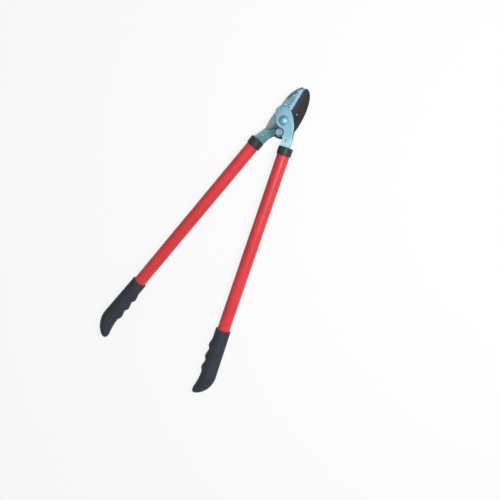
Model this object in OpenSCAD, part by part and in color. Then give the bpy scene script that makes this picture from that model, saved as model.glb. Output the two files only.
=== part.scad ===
// Anvil lopper, lying flat with its jaws closed.
// X points right, Y from the grips towards the jaws, Z up.
// The origin is on the main pivot axis, in the plane that the lopper rests on.

/* [Blade] */
// Length of the straight cutting edge
edge_len = 48; // [38:1:60]
// How far ahead of the pivot the cutting edge starts
edge_start = 25; // [24:0.5:30]
// How far right of the pivot the cutting edge starts
edge_offset = 4; // [2:0.5:6]
// Lean of the cutting edge from the long axis, in degrees
edge_lean = 1.5; // [0:0.1:6]
// Lean of the round backs of blade and jaw from the cutting edge, in degrees
back_lean = 4.5; // [2:0.1:6]
// Width of the blade behind its edge
blade_width = 31.5; // [30:0.5:36]
// Thickness of the blade plate
blade_t = 4; // [3:0.5:5]
// How far the tip of the blade runs past its cutting edge
blade_tip = 7; // [3:0.5:8]
// How far behind the start of the edge the heel of the blade sits
heel_run = 28; // [24:1:32]
// Width of the ground bevel
bevel_w = 9; // [6:0.5:12]
// Thickness left at the cutting edge
edge_t = 0.6; // [0.4:0.1:1]
// Half width of the tang on the side away from the blade
tang_left = 28.5; // [27:0.5:30]
// Radius of the blade's hub on the side of the jaw
blade_hub = 22; // [20:0.5:23]

/* [Anvil jaw] */
// Thickness of the jaw
jaw_t = 13; // [11:0.5:16]
// Width of the jaw behind the cutting line
jaw_w = 25.5; // [23:0.5:28]
// How far the jaw's nose runs past the cutting edge
jaw_nose = 5; // [3:0.5:8]
// Width of the slope along the back of the jaw
jaw_slope = 5; // [3:0.5:7]
// Height of the slope along the back of the jaw
jaw_slope_h = 2.5; // [1.5:0.5:3.5]
// Radius at which the root of the jaw clears the blade
jaw_root = 29; // [28.5:0.5:30]
// Width of the anvil pad
pad_w = 5.5; // [4:0.5:7]
// Depth of the pad's tongue in the jaw
pad_tongue = 10; // [9:0.5:11]
// Thickness of the pad's tongue
pad_tongue_t = 4; // [3:0.5:5]
// Diameter of the pad pins
pad_pin_d = 4; // [3:0.5:5]

/* [Cheeks] */
// Thickness of a cheek
cheek_t = 5; // [4:0.5:5.5]
// Thickness of the cheek's strap over the jaw root
strap_t = 3; // [2:0.5:4]
// Length of the strap along the cutting edge
strap_len = 17; // [15:0.5:20]
// Width of the cheek right of the pivot
cheek_right = 26.5; // [25:0.5:28]
// Width of the cheek left of the pivot
cheek_left = 27; // [25.5:0.5:28]
// Height of the cheek ahead of the pivot
cheek_top = 27.5; // [26:0.5:28.5]
// Width of the cheeks at their collar
neck_w = 20; // [18:0.5:23]
// How far the cheeks sit inwards of their tube at the collar
neck_in = 2.5; // [1:0.5:4.5]
// Thickness of a lever plate
lever_t = 5; // [4:0.5:5.5]
// Length of the lever plates ahead of their collar
lever_len = 29; // [26:0.5:30]
// Width of the lever plates at their collar
lever_w = 23; // [20:0.5:25]
// How far the lever plates bend inwards
lever_bend = 6; // [4:0.5:7]

/* [Pivot] */
// Diameter of the pivot bolt
pivot_d = 10; // [8:0.5:12]
// Diameter of the pivot bolt's head
pivot_head_d = 19.5; // [16:0.5:20]
// Height of the pivot bolt's head
pivot_head_h = 4.5; // [4:0.5:7]
// Diameter of the pivot washers
pivot_washer_d = 22; // [20:0.5:26]
// Thickness of the pivot washers
pivot_washer_t = 1.5; // [1:0.1:2]
// Width across the flats of the pivot nut
pivot_nut_w = 17; // [15:0.5:19]
// Height of the pivot nut
pivot_nut_h = 6; // [5:0.5:6.5]
// Diameter of the thrust washers
thrust_d = 28; // [24:0.5:30]
// Thickness of the thrust washers
thrust_t = 0.3; // [0.2:0.05:0.35]

/* [Stops] */
// How far right of the pivot the bumper sits
bumper_x = 4.5; // [3:0.5:6]
// How far behind the pivot the bumper sits
bumper_y = 26; // [25:0.5:28]
// Diameter of the bumper rings
bumper_d = 19; // [17:0.5:20]
// Diameter of the bumper bolt
bumper_bolt_d = 8; // [6:0.5:9]
// Diameter of the bumper washers
bumper_washer_d = 15; // [14:0.5:16]
// Thickness of the bumper washers
bumper_washer_t = 1.2; // [0.8:0.1:1.6]
// Width across the flats of the bumper nut and bolt head
bumper_nut_w = 13; // [11:0.5:14]
// Height of the bumper nut and bolt head
bumper_nut_h = 5; // [4:0.5:6]
// How far the bumper bolt runs past its nut
bumper_tail = 1.2; // [0.5:0.1:2]
// Width of the tang around the bumper
bumper_lug = 13; // [11.5:0.5:14]
// Distance of the stop pin from the pivot
stop_r = 30; // [29.5:0.5:32]
// Angle of the stop pin round the pivot, in degrees
stop_angle = 52; // [50:1:56]
// Diameter of the stop pin
stop_d = 5; // [4:0.5:6]
// Height of the stop pin above the blade
stop_h = 5; // [3:0.5:7]

/* [Rivets] */
// Diameter of the rivets
rivet_d = 4; // [3:0.5:5]
// Diameter of the rivet heads
rivet_head_d = 6.5; // [5.5:0.5:8]
// Height of the rivet heads
rivet_head_h = 1.6; // [1:0.2:2.6]
// Diameter of the tang pins
tang_pin_d = 5; // [4:0.5:6]

/* [Handles] */
// Lean of each handle from the long axis, in degrees
arm_angle = 11.1; // [9:0.1:14]
// How far right of the pivot the right handle's axis passes
right_arm_x = 23; // [22:0.5:26]
// How far left of the pivot the left handle's axis passes
left_arm_x = 18; // [16:0.5:20]
// Distance of the right collar from the pivot along the handle
right_neck = 47; // [46:0.5:56]
// Distance of the left collar from the pivot along the handle
left_neck = 63; // [61:0.5:72]
// Diameter of the tubes
tube_d = 28; // [27:0.5:30]
// Wall of the tubes
tube_wall = 1.2; // [1:0.1:2]
// Length of tube that shows between collar and grip
tube_len = 403; // [250:1:500]
// Length of tube inside the grip
tube_in_grip = 100; // [60:1:110]
// Diameter of the collars
collar_d = 32; // [31:0.5:33]
// Length of the collars
collar_len = 18; // [16:0.5:24]
// End wall of the collars
collar_wall = 4; // [3:0.5:5]
// Width of the tangs inside the tubes
tang_w = 16; // [12:0.5:17]
// Length of the tangs past the mouth of the collars
tang_len = 48; // [36:1:70]
// Length of the inserts
insert_len = 42; // [30:1:60]

/* [Grips] */
// Length of the straight part of a grip
grip_body = 112; // [110:1:140]
// Length of the hooked end of a grip
grip_end = 47; // [40:1:70]
// Width of a grip at its mouth
grip_w = 34; // [32.5:0.5:38]
// Thickness of a grip
grip_t = 33; // [32:0.5:36]
// Swell of the outer side of a grip
grip_swell = 2; // [0:0.5:4]
// Height of the finger bumps
bump_h = 3.5; // [1:0.5:5]
// Distance of the first finger bump from the mouth
bump_start = 42; // [30:1:46]
// Spacing of the finger bumps
bump_step = 27; // [18:1:28]
// How far the hooked end reaches inwards
hook_in = 27; // [22:0.5:32]
// Length of the round toe at the hooked end
toe_len = 14; // [8:1:20]

/* [Clearances] */
// Gap between the blade and each cheek
run_gap = 0.4; // [0.4:0.05:0.6]
// Radial clearance of bolts, pins and rivets in their holes
pin_fit = 0.05; // [0.02:0.01:0.1]
// Clearance of tubes, inserts and tangs in their sockets
slip_fit = 0.1; // [0.05:0.05:0.3]
// Gap between the bumper rings and the cheeks
bumper_gap = 0.4; // [0.3:0.1:0.8]
// Gap between the cutting edge and the pad
edge_gap = 0.3; // [0.2:0.1:0.6]
// Room around the sweep of the blade
sweep_gap = 3; // [2:0.5:4]

/* [Hidden] */
$fn = 64;
mid_z = grip_t / 2;
half_blade = blade_t / 2;
cheek_in = half_blade + run_gap;
cheek_out = cheek_in + cheek_t;
strap_out = cheek_in + strap_t;
lever_out = half_blade + lever_t;
washer_out = cheek_out + pivot_washer_t;
bumper_out = cheek_out - run_gap;
bumper_top = bumper_out + bumper_washer_t;

bumper_at = [bumper_x, -bumper_y];
bumper_reach = norm(bumper_at);
bumper_dir = atan2(-bumper_y, bumper_x);
notch_r = bumper_d / 2 + bumper_gap;
hub_r = bumper_reach - notch_r;
heel_r = bumper_reach + bumper_lug;
heel_at = edge_pt(-heel_run, blade_width + back_shift(-heel_run));
spacer_r = max(heel_r, norm(heel_at)) + sweep_gap;

cheek_side = [cheek_right * 0.5, cheek_top * 0.62];
cheek_peak = [-cheek_left * 0.02, cheek_top];
rim_fall = (cheek_peak.y - cheek_side.y) / (cheek_side.x - cheek_peak.x);
cheek_rim = cheek_side.y + rim_fall * (cheek_side.x - edge_offset);
pad_from = cheek_peak.y + sweep_gap / 4 - edge_start;
pad_foot = cheek_rim + sweep_gap / 4 - edge_start;
tongue_from = strap_len * 1.4;
tongue_to = edge_len * 0.97;
tongue_tip = pad_tongue * 0.5;
pad_pins_at = [
    [edge_len * 0.62, pad_w + pad_tongue * 0.65],
    [edge_len * 0.88, pad_w + pad_pin_d * 0.55]
];
jaw_rivets_at = [
    [strap_len * 0.28, jaw_w - rivet_head_d * 0.9],
    [strap_len * 0.45, pad_w + rivet_head_d * 0.5]
];
cheek_rivets_at = [[-neck_in, rivet_head_d * 2], [0, -tang_len * 0.75]];
lever_rivets_at = [[lever_bend * 0.6, lever_len * 0.5], [0, -tang_len * 0.75]];
tang_pin_y = (collar_wall + collar_len) / 2;
insert_from = collar_wall + slip_fit;
tube_total = collar_len - collar_wall - slip_fit + tube_len + tube_in_grip;
tube_in = tube_d - 2 * tube_wall;
grip_bore = tube_d + 2 * slip_fit;
toe_at = hook_in * 0.68;
stop_at = stop_r * [cos(stop_angle), sin(stop_angle)];

// Points along and beside the cutting edge, d to the right of it
function edge_pt(s, d) = [
    edge_offset + s * sin(edge_lean) + d * cos(edge_lean),
    edge_start + s * cos(edge_lean) - d * sin(edge_lean)
];

// How far the backs of blade and jaw lean over at a place along the edge
function back_shift(s) = s * tan(back_lean);

// Points beside and along the right and left handles, measured from their collars
function right_pt(x, y) = [
    right_arm_x + x * cos(arm_angle) + (right_neck - y) * sin(arm_angle),
    x * sin(arm_angle) - (right_neck - y) * cos(arm_angle)
];
function left_pt(x, y) = [
    -left_arm_x + x * cos(arm_angle) - (left_neck - y) * sin(arm_angle),
    -x * sin(arm_angle) - (left_neck - y) * cos(arm_angle)
];

// Points of an arc
function arc(c, r, from, to, steps) = [
    for (i = [0 : steps])
        let (a = from + (to - from) * i / steps)
        c + r * [cos(a), sin(a)]
];

// A corner with its radius, and a run of plain points
function corner(p, r) = [p.x, p.y, r];
function plain(points) = [for (p = points) [p.x, p.y, 0]];

// An outline with its corners rounded
function unit(v) = v / norm(v);
function flat(p) = [p.x, p.y];
function round_corner(before, at, after, r, steps) =
    let (
        u = unit(before - at),
        v = unit(after - at),
        half = acos(u * v) / 2,
        reach = min(r / tan(half), norm(before - at) * 0.48, norm(after - at) * 0.48),
        radius = reach * tan(half),
        c = at + unit(u + v) * radius / sin(half),
        from = atan2(at.y + u.y * reach - c.y, at.x + u.x * reach - c.x),
        to = atan2(at.y + v.y * reach - c.y, at.x + v.x * reach - c.x),
        turn = (to - from + 540) % 360 - 180
    )
    arc(c, radius, from, from + turn, steps);
function rounded(points, steps = 6) = [
    for (i = [0 : len(points) - 1])
        let (
            n = len(points),
            p = points[i],
            before = flat(points[(i + n - 1) % n]),
            after = flat(points[(i + 1) % n])
        )
        each (p[2] > 0 ? round_corner(before, flat(p), after, p[2], steps) : [flat(p)])
];

// Outline of a cheek, from the tang up the right side and down the left
function cheek_outline() = rounded(concat(
    [
        corner(right_pt(tang_w / 2, -tang_len), tang_w / 8),
        corner(right_pt(tang_w / 2, 0), 0),
        corner(right_pt(neck_w / 2 - neck_in, 0), neck_w / 24),
        corner(right_pt(neck_w / 2 - neck_in, right_neck * 0.4), neck_w),
        corner([cheek_right, 0], cheek_right),
        corner(cheek_side, cheek_right * 1.5),
        corner(cheek_peak, cheek_top * 0.3),
        corner([-cheek_left * 0.42, cheek_top], cheek_top * 0.4),
        corner([-cheek_left * 0.78, cheek_top * 0.76], cheek_top * 0.4),
        corner([-cheek_left, cheek_top * 0.44], cheek_top * 0.12),
        corner([-cheek_left * 0.78, 0], cheek_top * 0.6)
    ],
    plain(arc([0, 0], hub_r, 215, 360 + bumper_dir, 10)),
    plain(arc(bumper_at, notch_r, 170 + bumper_dir, -20, 12)),
    [
        corner(right_pt(-neck_w / 2 - neck_in, right_neck * 0.3), neck_w * 0.2),
        corner(right_pt(-neck_w / 2 - neck_in, 0), neck_w / 24),
        corner(right_pt(-tang_w / 2, 0), 0),
        corner(right_pt(-tang_w / 2, -tang_len), tang_w / 8)
    ]
));

// Outline of the strap that holds the root of the jaw
function strap_outline() = rounded([
    corner(edge_pt(-strap_len * 0.3, -pad_w - slip_fit), 0),
    corner(edge_pt(strap_len, -pad_w - slip_fit), strap_len * 0.1),
    corner(edge_pt(strap_len, jaw_side(strap_len)), strap_len * 0.2),
    corner(edge_pt(0, -jaw_w), strap_len * 0.4),
    corner([-cheek_left, cheek_top * 0.48], 0),
    corner([-cheek_left * 0.6, 0], 0)
]);

// Back of the jaw at a place along the edge, and its run from nose to strap
function jaw_side(s) =
    let (
        nose = edge_len + jaw_nose,
        centre = strap_len * 0.6,
        run = (s - centre) / (nose - centre)
    )
    back_shift(s) - jaw_w * sqrt(1 - 0.85 * run * run);
function jaw_back(steps) = [
    for (i = [0 : steps])
        let (
            nose = edge_len + jaw_nose,
            s = nose + (strap_len + slip_fit - nose) * i / steps
        )
        edge_pt(s, jaw_side(s))
];

// Outline of the jaw where it is thick
function jaw_outline() = rounded(concat(
    [
        corner(edge_pt(strap_len + slip_fit, -pad_w - slip_fit), 0),
        corner(edge_pt(edge_len + slip_fit, -pad_w - slip_fit), 0),
        corner(edge_pt(edge_len + slip_fit, -edge_gap), 0),
        corner(edge_pt(edge_len + jaw_nose * 0.9, -edge_gap), jaw_nose * 0.1),
        corner(edge_pt(edge_len + jaw_nose, -pad_w * 0.6), jaw_nose * 0.5)
    ],
    plain(jaw_back(14))
));

// Outline of the jaw's root between the cheeks
function jaw_root_outline() = concat(
    [
        edge_pt(strap_len * 1.5, -pad_w - 2 * slip_fit),
        edge_pt(strap_len * 1.5, jaw_side(strap_len * 1.5) * 0.9),
        edge_pt(strap_len, jaw_side(strap_len) * 0.97),
        edge_pt(0, -jaw_w * 0.97)
    ],
    arc([0, 0], jaw_root, 132, 98, 10),
    [edge_pt(pad_from, -pad_w - 2 * slip_fit)]
);

// Round back of the blade from above its heel to its tip
function blade_back(steps) = [
    for (i = [1 : steps])
        let (
            q = 88 * i / steps,
            bow = 2 / 1.85,
            s = -heel_run + (edge_len + blade_tip + heel_run) * pow(sin(q), bow)
        )
        edge_pt(s, blade_width * pow(cos(q), bow) + back_shift(s))
];

// Outline of the blade and its tang
function blade_outline() = rounded(concat(
    [corner(heel_at, blade_width * 0.1)],
    plain(blade_back(18)),
    [
        corner(edge_pt(edge_len + blade_tip * 0.9, edge_gap), blade_tip * 0.1),
        corner(edge_pt(0, edge_gap), 0)
    ],
    plain(arc([0, 0], blade_hub, 82, 150, 10)),
    [
        corner([-tang_left * 0.92, blade_hub * 0.3], tang_left * 0.15),
        corner([-tang_left, -bumper_y * 0.35], tang_left * 0.6),
        corner([-tang_left, -bumper_y * 0.75], tang_left * 0.4),
        corner(left_pt(-lever_w * 0.14, lever_len * 1.02), lever_w * 0.4),
        corner(left_pt(-lever_w * 0.43, lever_len * 0.2), lever_w * 0.5),
        corner(left_pt(-lever_w / 2, 0), lever_w / 24),
        corner(left_pt(-tang_w / 2, 0), 0),
        corner(left_pt(-tang_w / 2, -tang_len), tang_w / 8),
        corner(left_pt(tang_w / 2, -tang_len), tang_w / 8),
        corner(left_pt(tang_w / 2, 0), 0),
        corner(left_pt(lever_w / 2 + lever_bend * 0.4, 0), lever_w / 24),
        corner(left_pt(lever_w / 2 + lever_bend * 0.85, lever_len * 0.55), lever_w * 0.3)
    ],
    plain(arc([0, 0], heel_r, 260, 315, 14))
));

// Outline of a lever plate, from its tang to the bumper that it cups
function lever_outline() = rounded(concat(
    [
        corner(left_pt(-tang_w / 2, -tang_len), tang_w / 8),
        corner(left_pt(tang_w / 2, -tang_len), tang_w / 8),
        corner(left_pt(tang_w / 2, 0), 0),
        corner(left_pt(lever_w / 2 + lever_bend * 0.4, 0), lever_w / 24),
        corner(left_pt(lever_w / 2 + lever_bend * 0.8, lever_len * 0.55), lever_w * 0.6)
    ],
    plain(arc(bumper_at, notch_r, 238, 162, 8)),
    [
        corner(left_pt(lever_bend, lever_len * 1.08), lever_w * 0.4),
        corner(left_pt(-lever_w * 0.12, lever_len * 0.88), lever_w * 0.2),
        corner(left_pt(-lever_w * 0.39, lever_len * 0.2), lever_w * 0.6),
        corner(left_pt(-lever_w / 2, 0), lever_w / 24),
        corner(left_pt(-tang_w / 2, 0), 0)
    ]
));

// A plate between two heights above the middle plane
module plate(outline, from, to) {
    translate([0, 0, mid_z + from])
        linear_extrude(to - from)
            polygon(outline);
}

// A hole right through the head
module bore(at, d) {
    translate([at.x, at.y, -grip_t])
        cylinder(d = d + 2 * pin_fit, h = 3 * grip_t);
}

// The far side of a piece mirrored in the middle plane
module behind() {
    translate([0, 0, 2 * mid_z])
        mirror([0, 0, 1])
            children();
}

// A round cap that stands on the plane z = 0
module cap(d, h) {
    sphere_r = (d * d / 4 + h * h) / (2 * h);
    intersection() {
        translate([0, 0, h - sphere_r])
            sphere(r = sphere_r);
        translate([-d, -d, 0])
            cube([2 * d, 2 * d, 2 * h]);
    }
}

// A rivet with a round head at each end of its grip
module rivet(at, reach) {
    translate([at.x, at.y, mid_z]) {
        cylinder(d = rivet_d, h = 2 * reach, center = true);
        translate([0, 0, reach])
            cap(rivet_head_d, rivet_head_h);
        mirror([0, 0, 1])
            translate([0, 0, reach])
                cap(rivet_head_d, rivet_head_h);
    }
}

// A hexagon with chamfered corners that stands on the plane z = 0
module hexagon(w, h) {
    corner_r = w / 2 / cos(30);
    chamfer = corner_r - w / 2 * 0.97;
    intersection() {
        cylinder(r = corner_r, h = h, $fn = 6);
        rotate_extrude()
            polygon([[0, 0], [corner_r + slip_fit, 0], [corner_r + slip_fit, h - chamfer * 0.6],
                [corner_r - chamfer, h], [0, h]]);
    }
}

// A flat ring that stands on the plane z = 0
module ring(outer, inner, h) {
    difference() {
        cylinder(d = outer, h = h);
        translate([0, 0, -h])
            cylinder(d = inner, h = 3 * h);
    }
}

// Places children at the mouth of a collar, the handle running to -Y
module right_handle() {
    translate([right_arm_x, 0, mid_z])
        rotate([0, 0, arm_angle])
            translate([0, -right_neck, 0])
                children();
}
module left_handle() {
    translate([-left_arm_x, 0, mid_z])
        rotate([0, 0, -arm_angle])
            translate([0, -left_neck, 0])
                mirror([1, 0, 0])
                    children();
}

// The hole of a tang pin in the frame of a handle
module tang_pin_bore() {
    translate([0, -tang_pin_y, -tube_d])
        cylinder(d = tang_pin_d + 2 * pin_fit, h = 2 * tube_d);
}

// A collar over the mouth of a tube, slotted for its tang
module collar(half_t) {
    rim = collar_wall * 0.4;
    difference() {
        rotate([90, 0, 0])
            rotate_extrude()
                polygon([
                    [0, 0], [collar_d / 2 - rim, 0], [collar_d / 2, rim],
                    [collar_d / 2, collar_len - rim / 2], [collar_d / 2 - rim / 2, collar_len],
                    [0, collar_len]
                ]);
        translate([0, -collar_wall, 0])
            rotate([90, 0, 0])
                cylinder(d = tube_d + 2 * slip_fit, h = collar_len);
        cube([tang_w + 2 * slip_fit, 3 * collar_wall, 2 * (half_t + slip_fit)], center = true);
    }
}

// A plug that centres a tang in its tube
module insert(half_t) {
    difference() {
        translate([0, -insert_from, 0])
            rotate([90, 0, 0])
                cylinder(d = tube_in - 2 * slip_fit, h = insert_len);
        cube([
            tang_w + 2 * slip_fit,
            3 * (insert_len + collar_len),
            2 * (half_t + slip_fit)
        ], center = true);
        tang_pin_bore();
    }
}

// A pin across a tube, its insert and its tang
module tang_pin() {
    translate([0, -tang_pin_y, 0])
        cylinder(d = tang_pin_d, h = tube_d - 2 * slip_fit, center = true);
}

// A tube from inside its collar to inside its grip
module tube() {
    difference() {
        translate([0, -insert_from, 0])
            rotate([90, 0, 0])
                cylinder(d = tube_d, h = tube_total);
        rotate([90, 0, 0])
            cylinder(d = tube_in, h = 2 * tube_total);
        tang_pin_bore();
    }
}

// Sides of a grip at a distance from its mouth, inner and outer
function bump(s) = max([for (i = [0 : 2])
    let (
        past = s - bump_start - i * bump_step,
        away = abs(past) / (bump_step * (past < 0 ? 0.65 : 0.35))
    )
    away < 1 ? (1 + cos(180 * away)) / 2 : 0]);
function toe(s) =
    let (run = max(0, s - grip_body - grip_end + toe_len) / toe_len)
    sqrt(max(0, 1 - run * run));
function hook(s) =
    let (side = grip_w / 2 + (hook_in - grip_w / 2) * pow((s - grip_body) / grip_end, 1.6))
    toe_at + (side - toe_at) * toe(s);
function grip_inner(s) = s < grip_body ? grip_w / 2 + bump_h * bump(s) : hook(s);
function grip_outer(s) = grip_w / 2 + grip_swell * s / grip_body;

// Cross sections of a grip: distance, inner side, outer side, half thickness
function grip_stations() = concat(
    [for (i = [0 : 27]) let (s = grip_body * i / 28) [s, grip_inner(s), grip_outer(s), grip_t / 2]],
    [for (q = [0 : 8 : 88])
        let (
            bow = 2 / 1.8,
            s = grip_body + grip_end * pow(sin(q), bow),
            heel = -toe_at + (grip_outer(grip_body) + toe_at) * pow(cos(q), bow)
        )
        [s, grip_inner(s), heel, grip_t / 2 * sqrt(cos(q))]]
);
function grip_section(st, sides) = [
    for (k = [0 : sides - 1])
        let (a = 360 * k / sides)
        [(st[2] - st[1]) / 2 + (st[2] + st[1]) / 2 * cos(a), -st[0], st[3] * sin(a)]
];

// A grip with finger bumps and a hooked end, bored for its tube
module grip() {
    sides = 24;
    stations = grip_stations();
    rings = len(stations);
    points = [for (st = stations) each grip_section(st, sides)];
    walls = [
        for (r = [0 : rings - 2])
            for (k = [0 : sides - 1])
                let (
                    a = r * sides + k,
                    b = r * sides + (k + 1) % sides,
                    c = a + sides,
                    d = b + sides
                )
                each [[a, c, b], [b, c, d]]
    ];
    mouth = [for (k = [1 : sides - 2]) [0, k, k + 1]];
    last = (rings - 1) * sides;
    tip = [for (k = [1 : sides - 2]) [last, last + k + 1, last + k]];
    translate([0, -collar_len - tube_len, 0])
        difference() {
            polyhedron(points, concat(walls, mouth, tip));
            translate([0, tube_d, 0])
                rotate([90, 0, 0])
                    cylinder(d = grip_bore, h = tube_d + tube_in_grip + slip_fit);
        }
}

// Body of a cheek without its bores
module cheek_body() {
    plate(cheek_outline(), cheek_in, cheek_out);
    plate(strap_outline(), cheek_in, strap_out);
}

module cheek() {
    difference() {
        cheek_body();
        bore([0, 0], pivot_d);
        for (p = jaw_rivets_at)
            bore(edge_pt(p[0], -p[1]), rivet_d);
        for (p = cheek_rivets_at)
            bore(right_pt(p.x, p.y), rivet_d);
        right_handle()
            tang_pin_bore();
    }
}

module front_cheek() {
    color("lightsteelblue")
        cheek();
}

module rear_cheek() {
    color("lightsteelblue")
        behind()
            cheek();
}

module cheek_spacer() {
    color("silver")
        difference() {
            intersection() {
                plate(rounded([
                    corner(right_pt(tang_w / 2, -tang_len), tang_w / 8),
                    corner(right_pt(tang_w / 2, 0), 0),
                    corner(right_pt(neck_w / 2 - neck_in, 0), 0),
                    corner(right_pt(neck_w / 2 - neck_in, right_neck), 0),
                    corner(right_pt(-neck_w / 2 - neck_in, right_neck), 0),
                    corner(right_pt(-neck_w / 2 - neck_in, 0), 0),
                    corner(right_pt(-tang_w / 2, 0), 0),
                    corner(right_pt(-tang_w / 2, -tang_len), tang_w / 8)
                ]), -cheek_in, cheek_in);
                translate([0, 0, mid_z - cheek_in])
                    ring(4 * (right_neck + tang_len), 2 * spacer_r, 2 * cheek_in);
            }
            for (p = cheek_rivets_at)
                bore(right_pt(p.x, p.y), rivet_d);
            right_handle()
                tang_pin_bore();
        }
}

module cheek_rivets() {
    color("gainsboro") {
        at = cheek_rivets_at[0];
        rivet(right_pt(at.x, at.y), cheek_out);
        deep = cheek_rivets_at[1];
        spot = right_pt(deep.x, deep.y);
        translate([spot.x, spot.y, mid_z])
            cylinder(d = rivet_d, h = 2 * cheek_out, center = true);
    }
}

module jaw_solid() {
    plate(jaw_outline(), -jaw_t / 2, jaw_t / 2);
    plate(jaw_root_outline(), -cheek_in, cheek_in);
}

// The slope cut along the back of the jaw, one face of it
module jaw_slope_cut() {
    nose = edge_len + jaw_nose;
    from = edge_pt(strap_len, back_shift(strap_len) - jaw_w);
    to = edge_pt(nose, back_shift(nose) - jaw_w * 0.4);
    along = atan2(to.y - from.y, to.x - from.x);
    run = norm(to - from);
    slope = atan2(jaw_slope_h, jaw_slope);
    translate([from.x, from.y, mid_z + jaw_t / 2 - jaw_slope_h])
        rotate([0, 0, along])
            rotate([-slope, 0, 0])
                translate([-run, -run, 0])
                    cube([3 * run, 2 * run, jaw_t]);
}

module anvil_jaw() {
    color("silver")
        difference() {
            jaw_solid();
            jaw_slope_cut();
            behind()
                jaw_slope_cut();
            pad_tongue_room();
            for (p = jaw_rivets_at)
                bore(edge_pt(p[0], -p[1]), rivet_d);
            for (p = pad_pins_at)
                bore(edge_pt(p[0], -p[1]), pad_pin_d);
        }
}

// The slot in the jaw that takes the tongue of the pad
module pad_tongue_room() {
    plate([
        edge_pt(tongue_from - slip_fit, -pad_w / 2),
        edge_pt(tongue_to + slip_fit, -pad_w / 2),
        edge_pt(tongue_to + slip_fit, -pad_w - tongue_tip - slip_fit),
        edge_pt(tongue_from - slip_fit, -pad_w - pad_tongue - slip_fit)
    ], -pad_tongue_t / 2 - slip_fit, pad_tongue_t / 2 + slip_fit);
}

module jaw_rivets() {
    color("white")
        for (p = jaw_rivets_at)
            rivet(edge_pt(p[0], -p[1]), strap_out);
}

module anvil_pad() {
    color("lavender")
        difference() {
            union() {
                plate([
                    edge_pt(pad_foot, 0),
                    edge_pt(edge_len, 0),
                    edge_pt(edge_len, -pad_w),
                    edge_pt(pad_from, -pad_w)
                ], -jaw_t / 2, jaw_t / 2);
                plate([
                    edge_pt(tongue_from, -pad_w / 2),
                    edge_pt(tongue_to, -pad_w / 2),
                    edge_pt(tongue_to, -pad_w - tongue_tip),
                    edge_pt(tongue_from, -pad_w - pad_tongue)
                ], -pad_tongue_t / 2, pad_tongue_t / 2);
            }
            for (p = pad_pins_at)
                bore(edge_pt(p[0], -p[1]), pad_pin_d);
        }
}

module pad_pins() {
    color("white")
        for (p = pad_pins_at)
            let (at = edge_pt(p[0], -p[1]))
                translate([at.x, at.y, mid_z])
                    cylinder(d = pad_pin_d, h = jaw_t, center = true);
}

module pivot_bolt() {
    color("gainsboro") {
        cylinder(d = pivot_d, h = mid_z + washer_out);
        translate([0, 0, mid_z + washer_out])
            cap(pivot_head_d, pivot_head_h);
    }
}

module pivot_washers() {
    color("lightgray") {
        translate([0, 0, mid_z + cheek_out])
            ring(pivot_washer_d, pivot_d + 2 * pin_fit, pivot_washer_t);
        translate([0, 0, mid_z - washer_out])
            ring(pivot_washer_d, pivot_d + 2 * pin_fit, pivot_washer_t);
    }
}

module pivot_nut() {
    color("gainsboro")
        difference() {
            translate([0, 0, mid_z - washer_out])
                mirror([0, 0, 1])
                    hexagon(pivot_nut_w, pivot_nut_h);
            bore([0, 0], pivot_d);
        }
}

module thrust_washers() {
    color("tan") {
        translate([0, 0, mid_z + cheek_in - thrust_t])
            ring(thrust_d, pivot_d + 2 * pin_fit, thrust_t);
        translate([0, 0, mid_z - cheek_in])
            ring(thrust_d, pivot_d + 2 * pin_fit, thrust_t);
    }
}

// The two bevels ground along the cutting edge
module bevel_cut() {
    reach = bevel_w + edge_gap;
    translate([edge_offset, edge_start, mid_z])
        rotate([0, 0, -edge_lean])
            translate([0, 2 * edge_len, 0])
                rotate([90, 0, 0])
                    linear_extrude(2.02 * edge_len)
                        polygon([[reach, half_blade], [edge_gap, edge_t / 2], [-edge_len, edge_t / 2],
                            [-edge_len, blade_t], [reach, blade_t]]);
}

module blade() {
    color([0.18, 0.18, 0.2])
        difference() {
            plate(blade_outline(), -half_blade, half_blade);
            bevel_cut();
            behind()
                bevel_cut();
            bore([0, 0], pivot_d);
            bore(bumper_at, bumper_bolt_d);
            bore(stop_at, stop_d);
            for (p = lever_rivets_at)
                bore(left_pt(p.x, p.y), rivet_d);
            left_handle()
                tang_pin_bore();
        }
}

module lever_plate() {
    difference() {
        plate(lever_outline(), half_blade, lever_out);
        for (p = lever_rivets_at)
            bore(left_pt(p.x, p.y), rivet_d);
        left_handle()
            tang_pin_bore();
    }
}

module front_lever_plate() {
    color("lightgray")
        lever_plate();
}

module rear_lever_plate() {
    color("lightgray")
        behind()
            lever_plate();
}

module lever_rivets() {
    color("gainsboro")
        for (p = lever_rivets_at)
            let (at = left_pt(p.x, p.y))
                translate([at.x, at.y, mid_z])
                    cylinder(d = rivet_d, h = 2 * lever_out, center = true);
}

module bumper_rings() {
    color("dimgray")
        for (z = [half_blade, -bumper_out])
            translate([bumper_at.x, bumper_at.y, mid_z + z])
                ring(bumper_d, bumper_bolt_d + 2 * pin_fit, bumper_out - half_blade);
}

module bumper_bolt() {
    color("gainsboro")
        translate([bumper_at.x, bumper_at.y, mid_z]) {
            translate([0, 0, -bumper_top])
                cylinder(d = bumper_bolt_d, h = 2 * bumper_top + bumper_nut_h + bumper_tail);
            translate([0, 0, -bumper_top])
                mirror([0, 0, 1])
                    hexagon(bumper_nut_w, bumper_nut_h);
        }
}

module bumper_washers() {
    color("lightgray")
        for (z = [bumper_out, -bumper_top])
            translate([bumper_at.x, bumper_at.y, mid_z + z])
                ring(bumper_washer_d, bumper_bolt_d + 2 * pin_fit, bumper_washer_t);
}

module bumper_nut() {
    color("gainsboro")
        difference() {
            translate([bumper_at.x, bumper_at.y, mid_z + bumper_top])
                hexagon(bumper_nut_w, bumper_nut_h);
            bore(bumper_at, bumper_bolt_d);
        }
}

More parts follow.
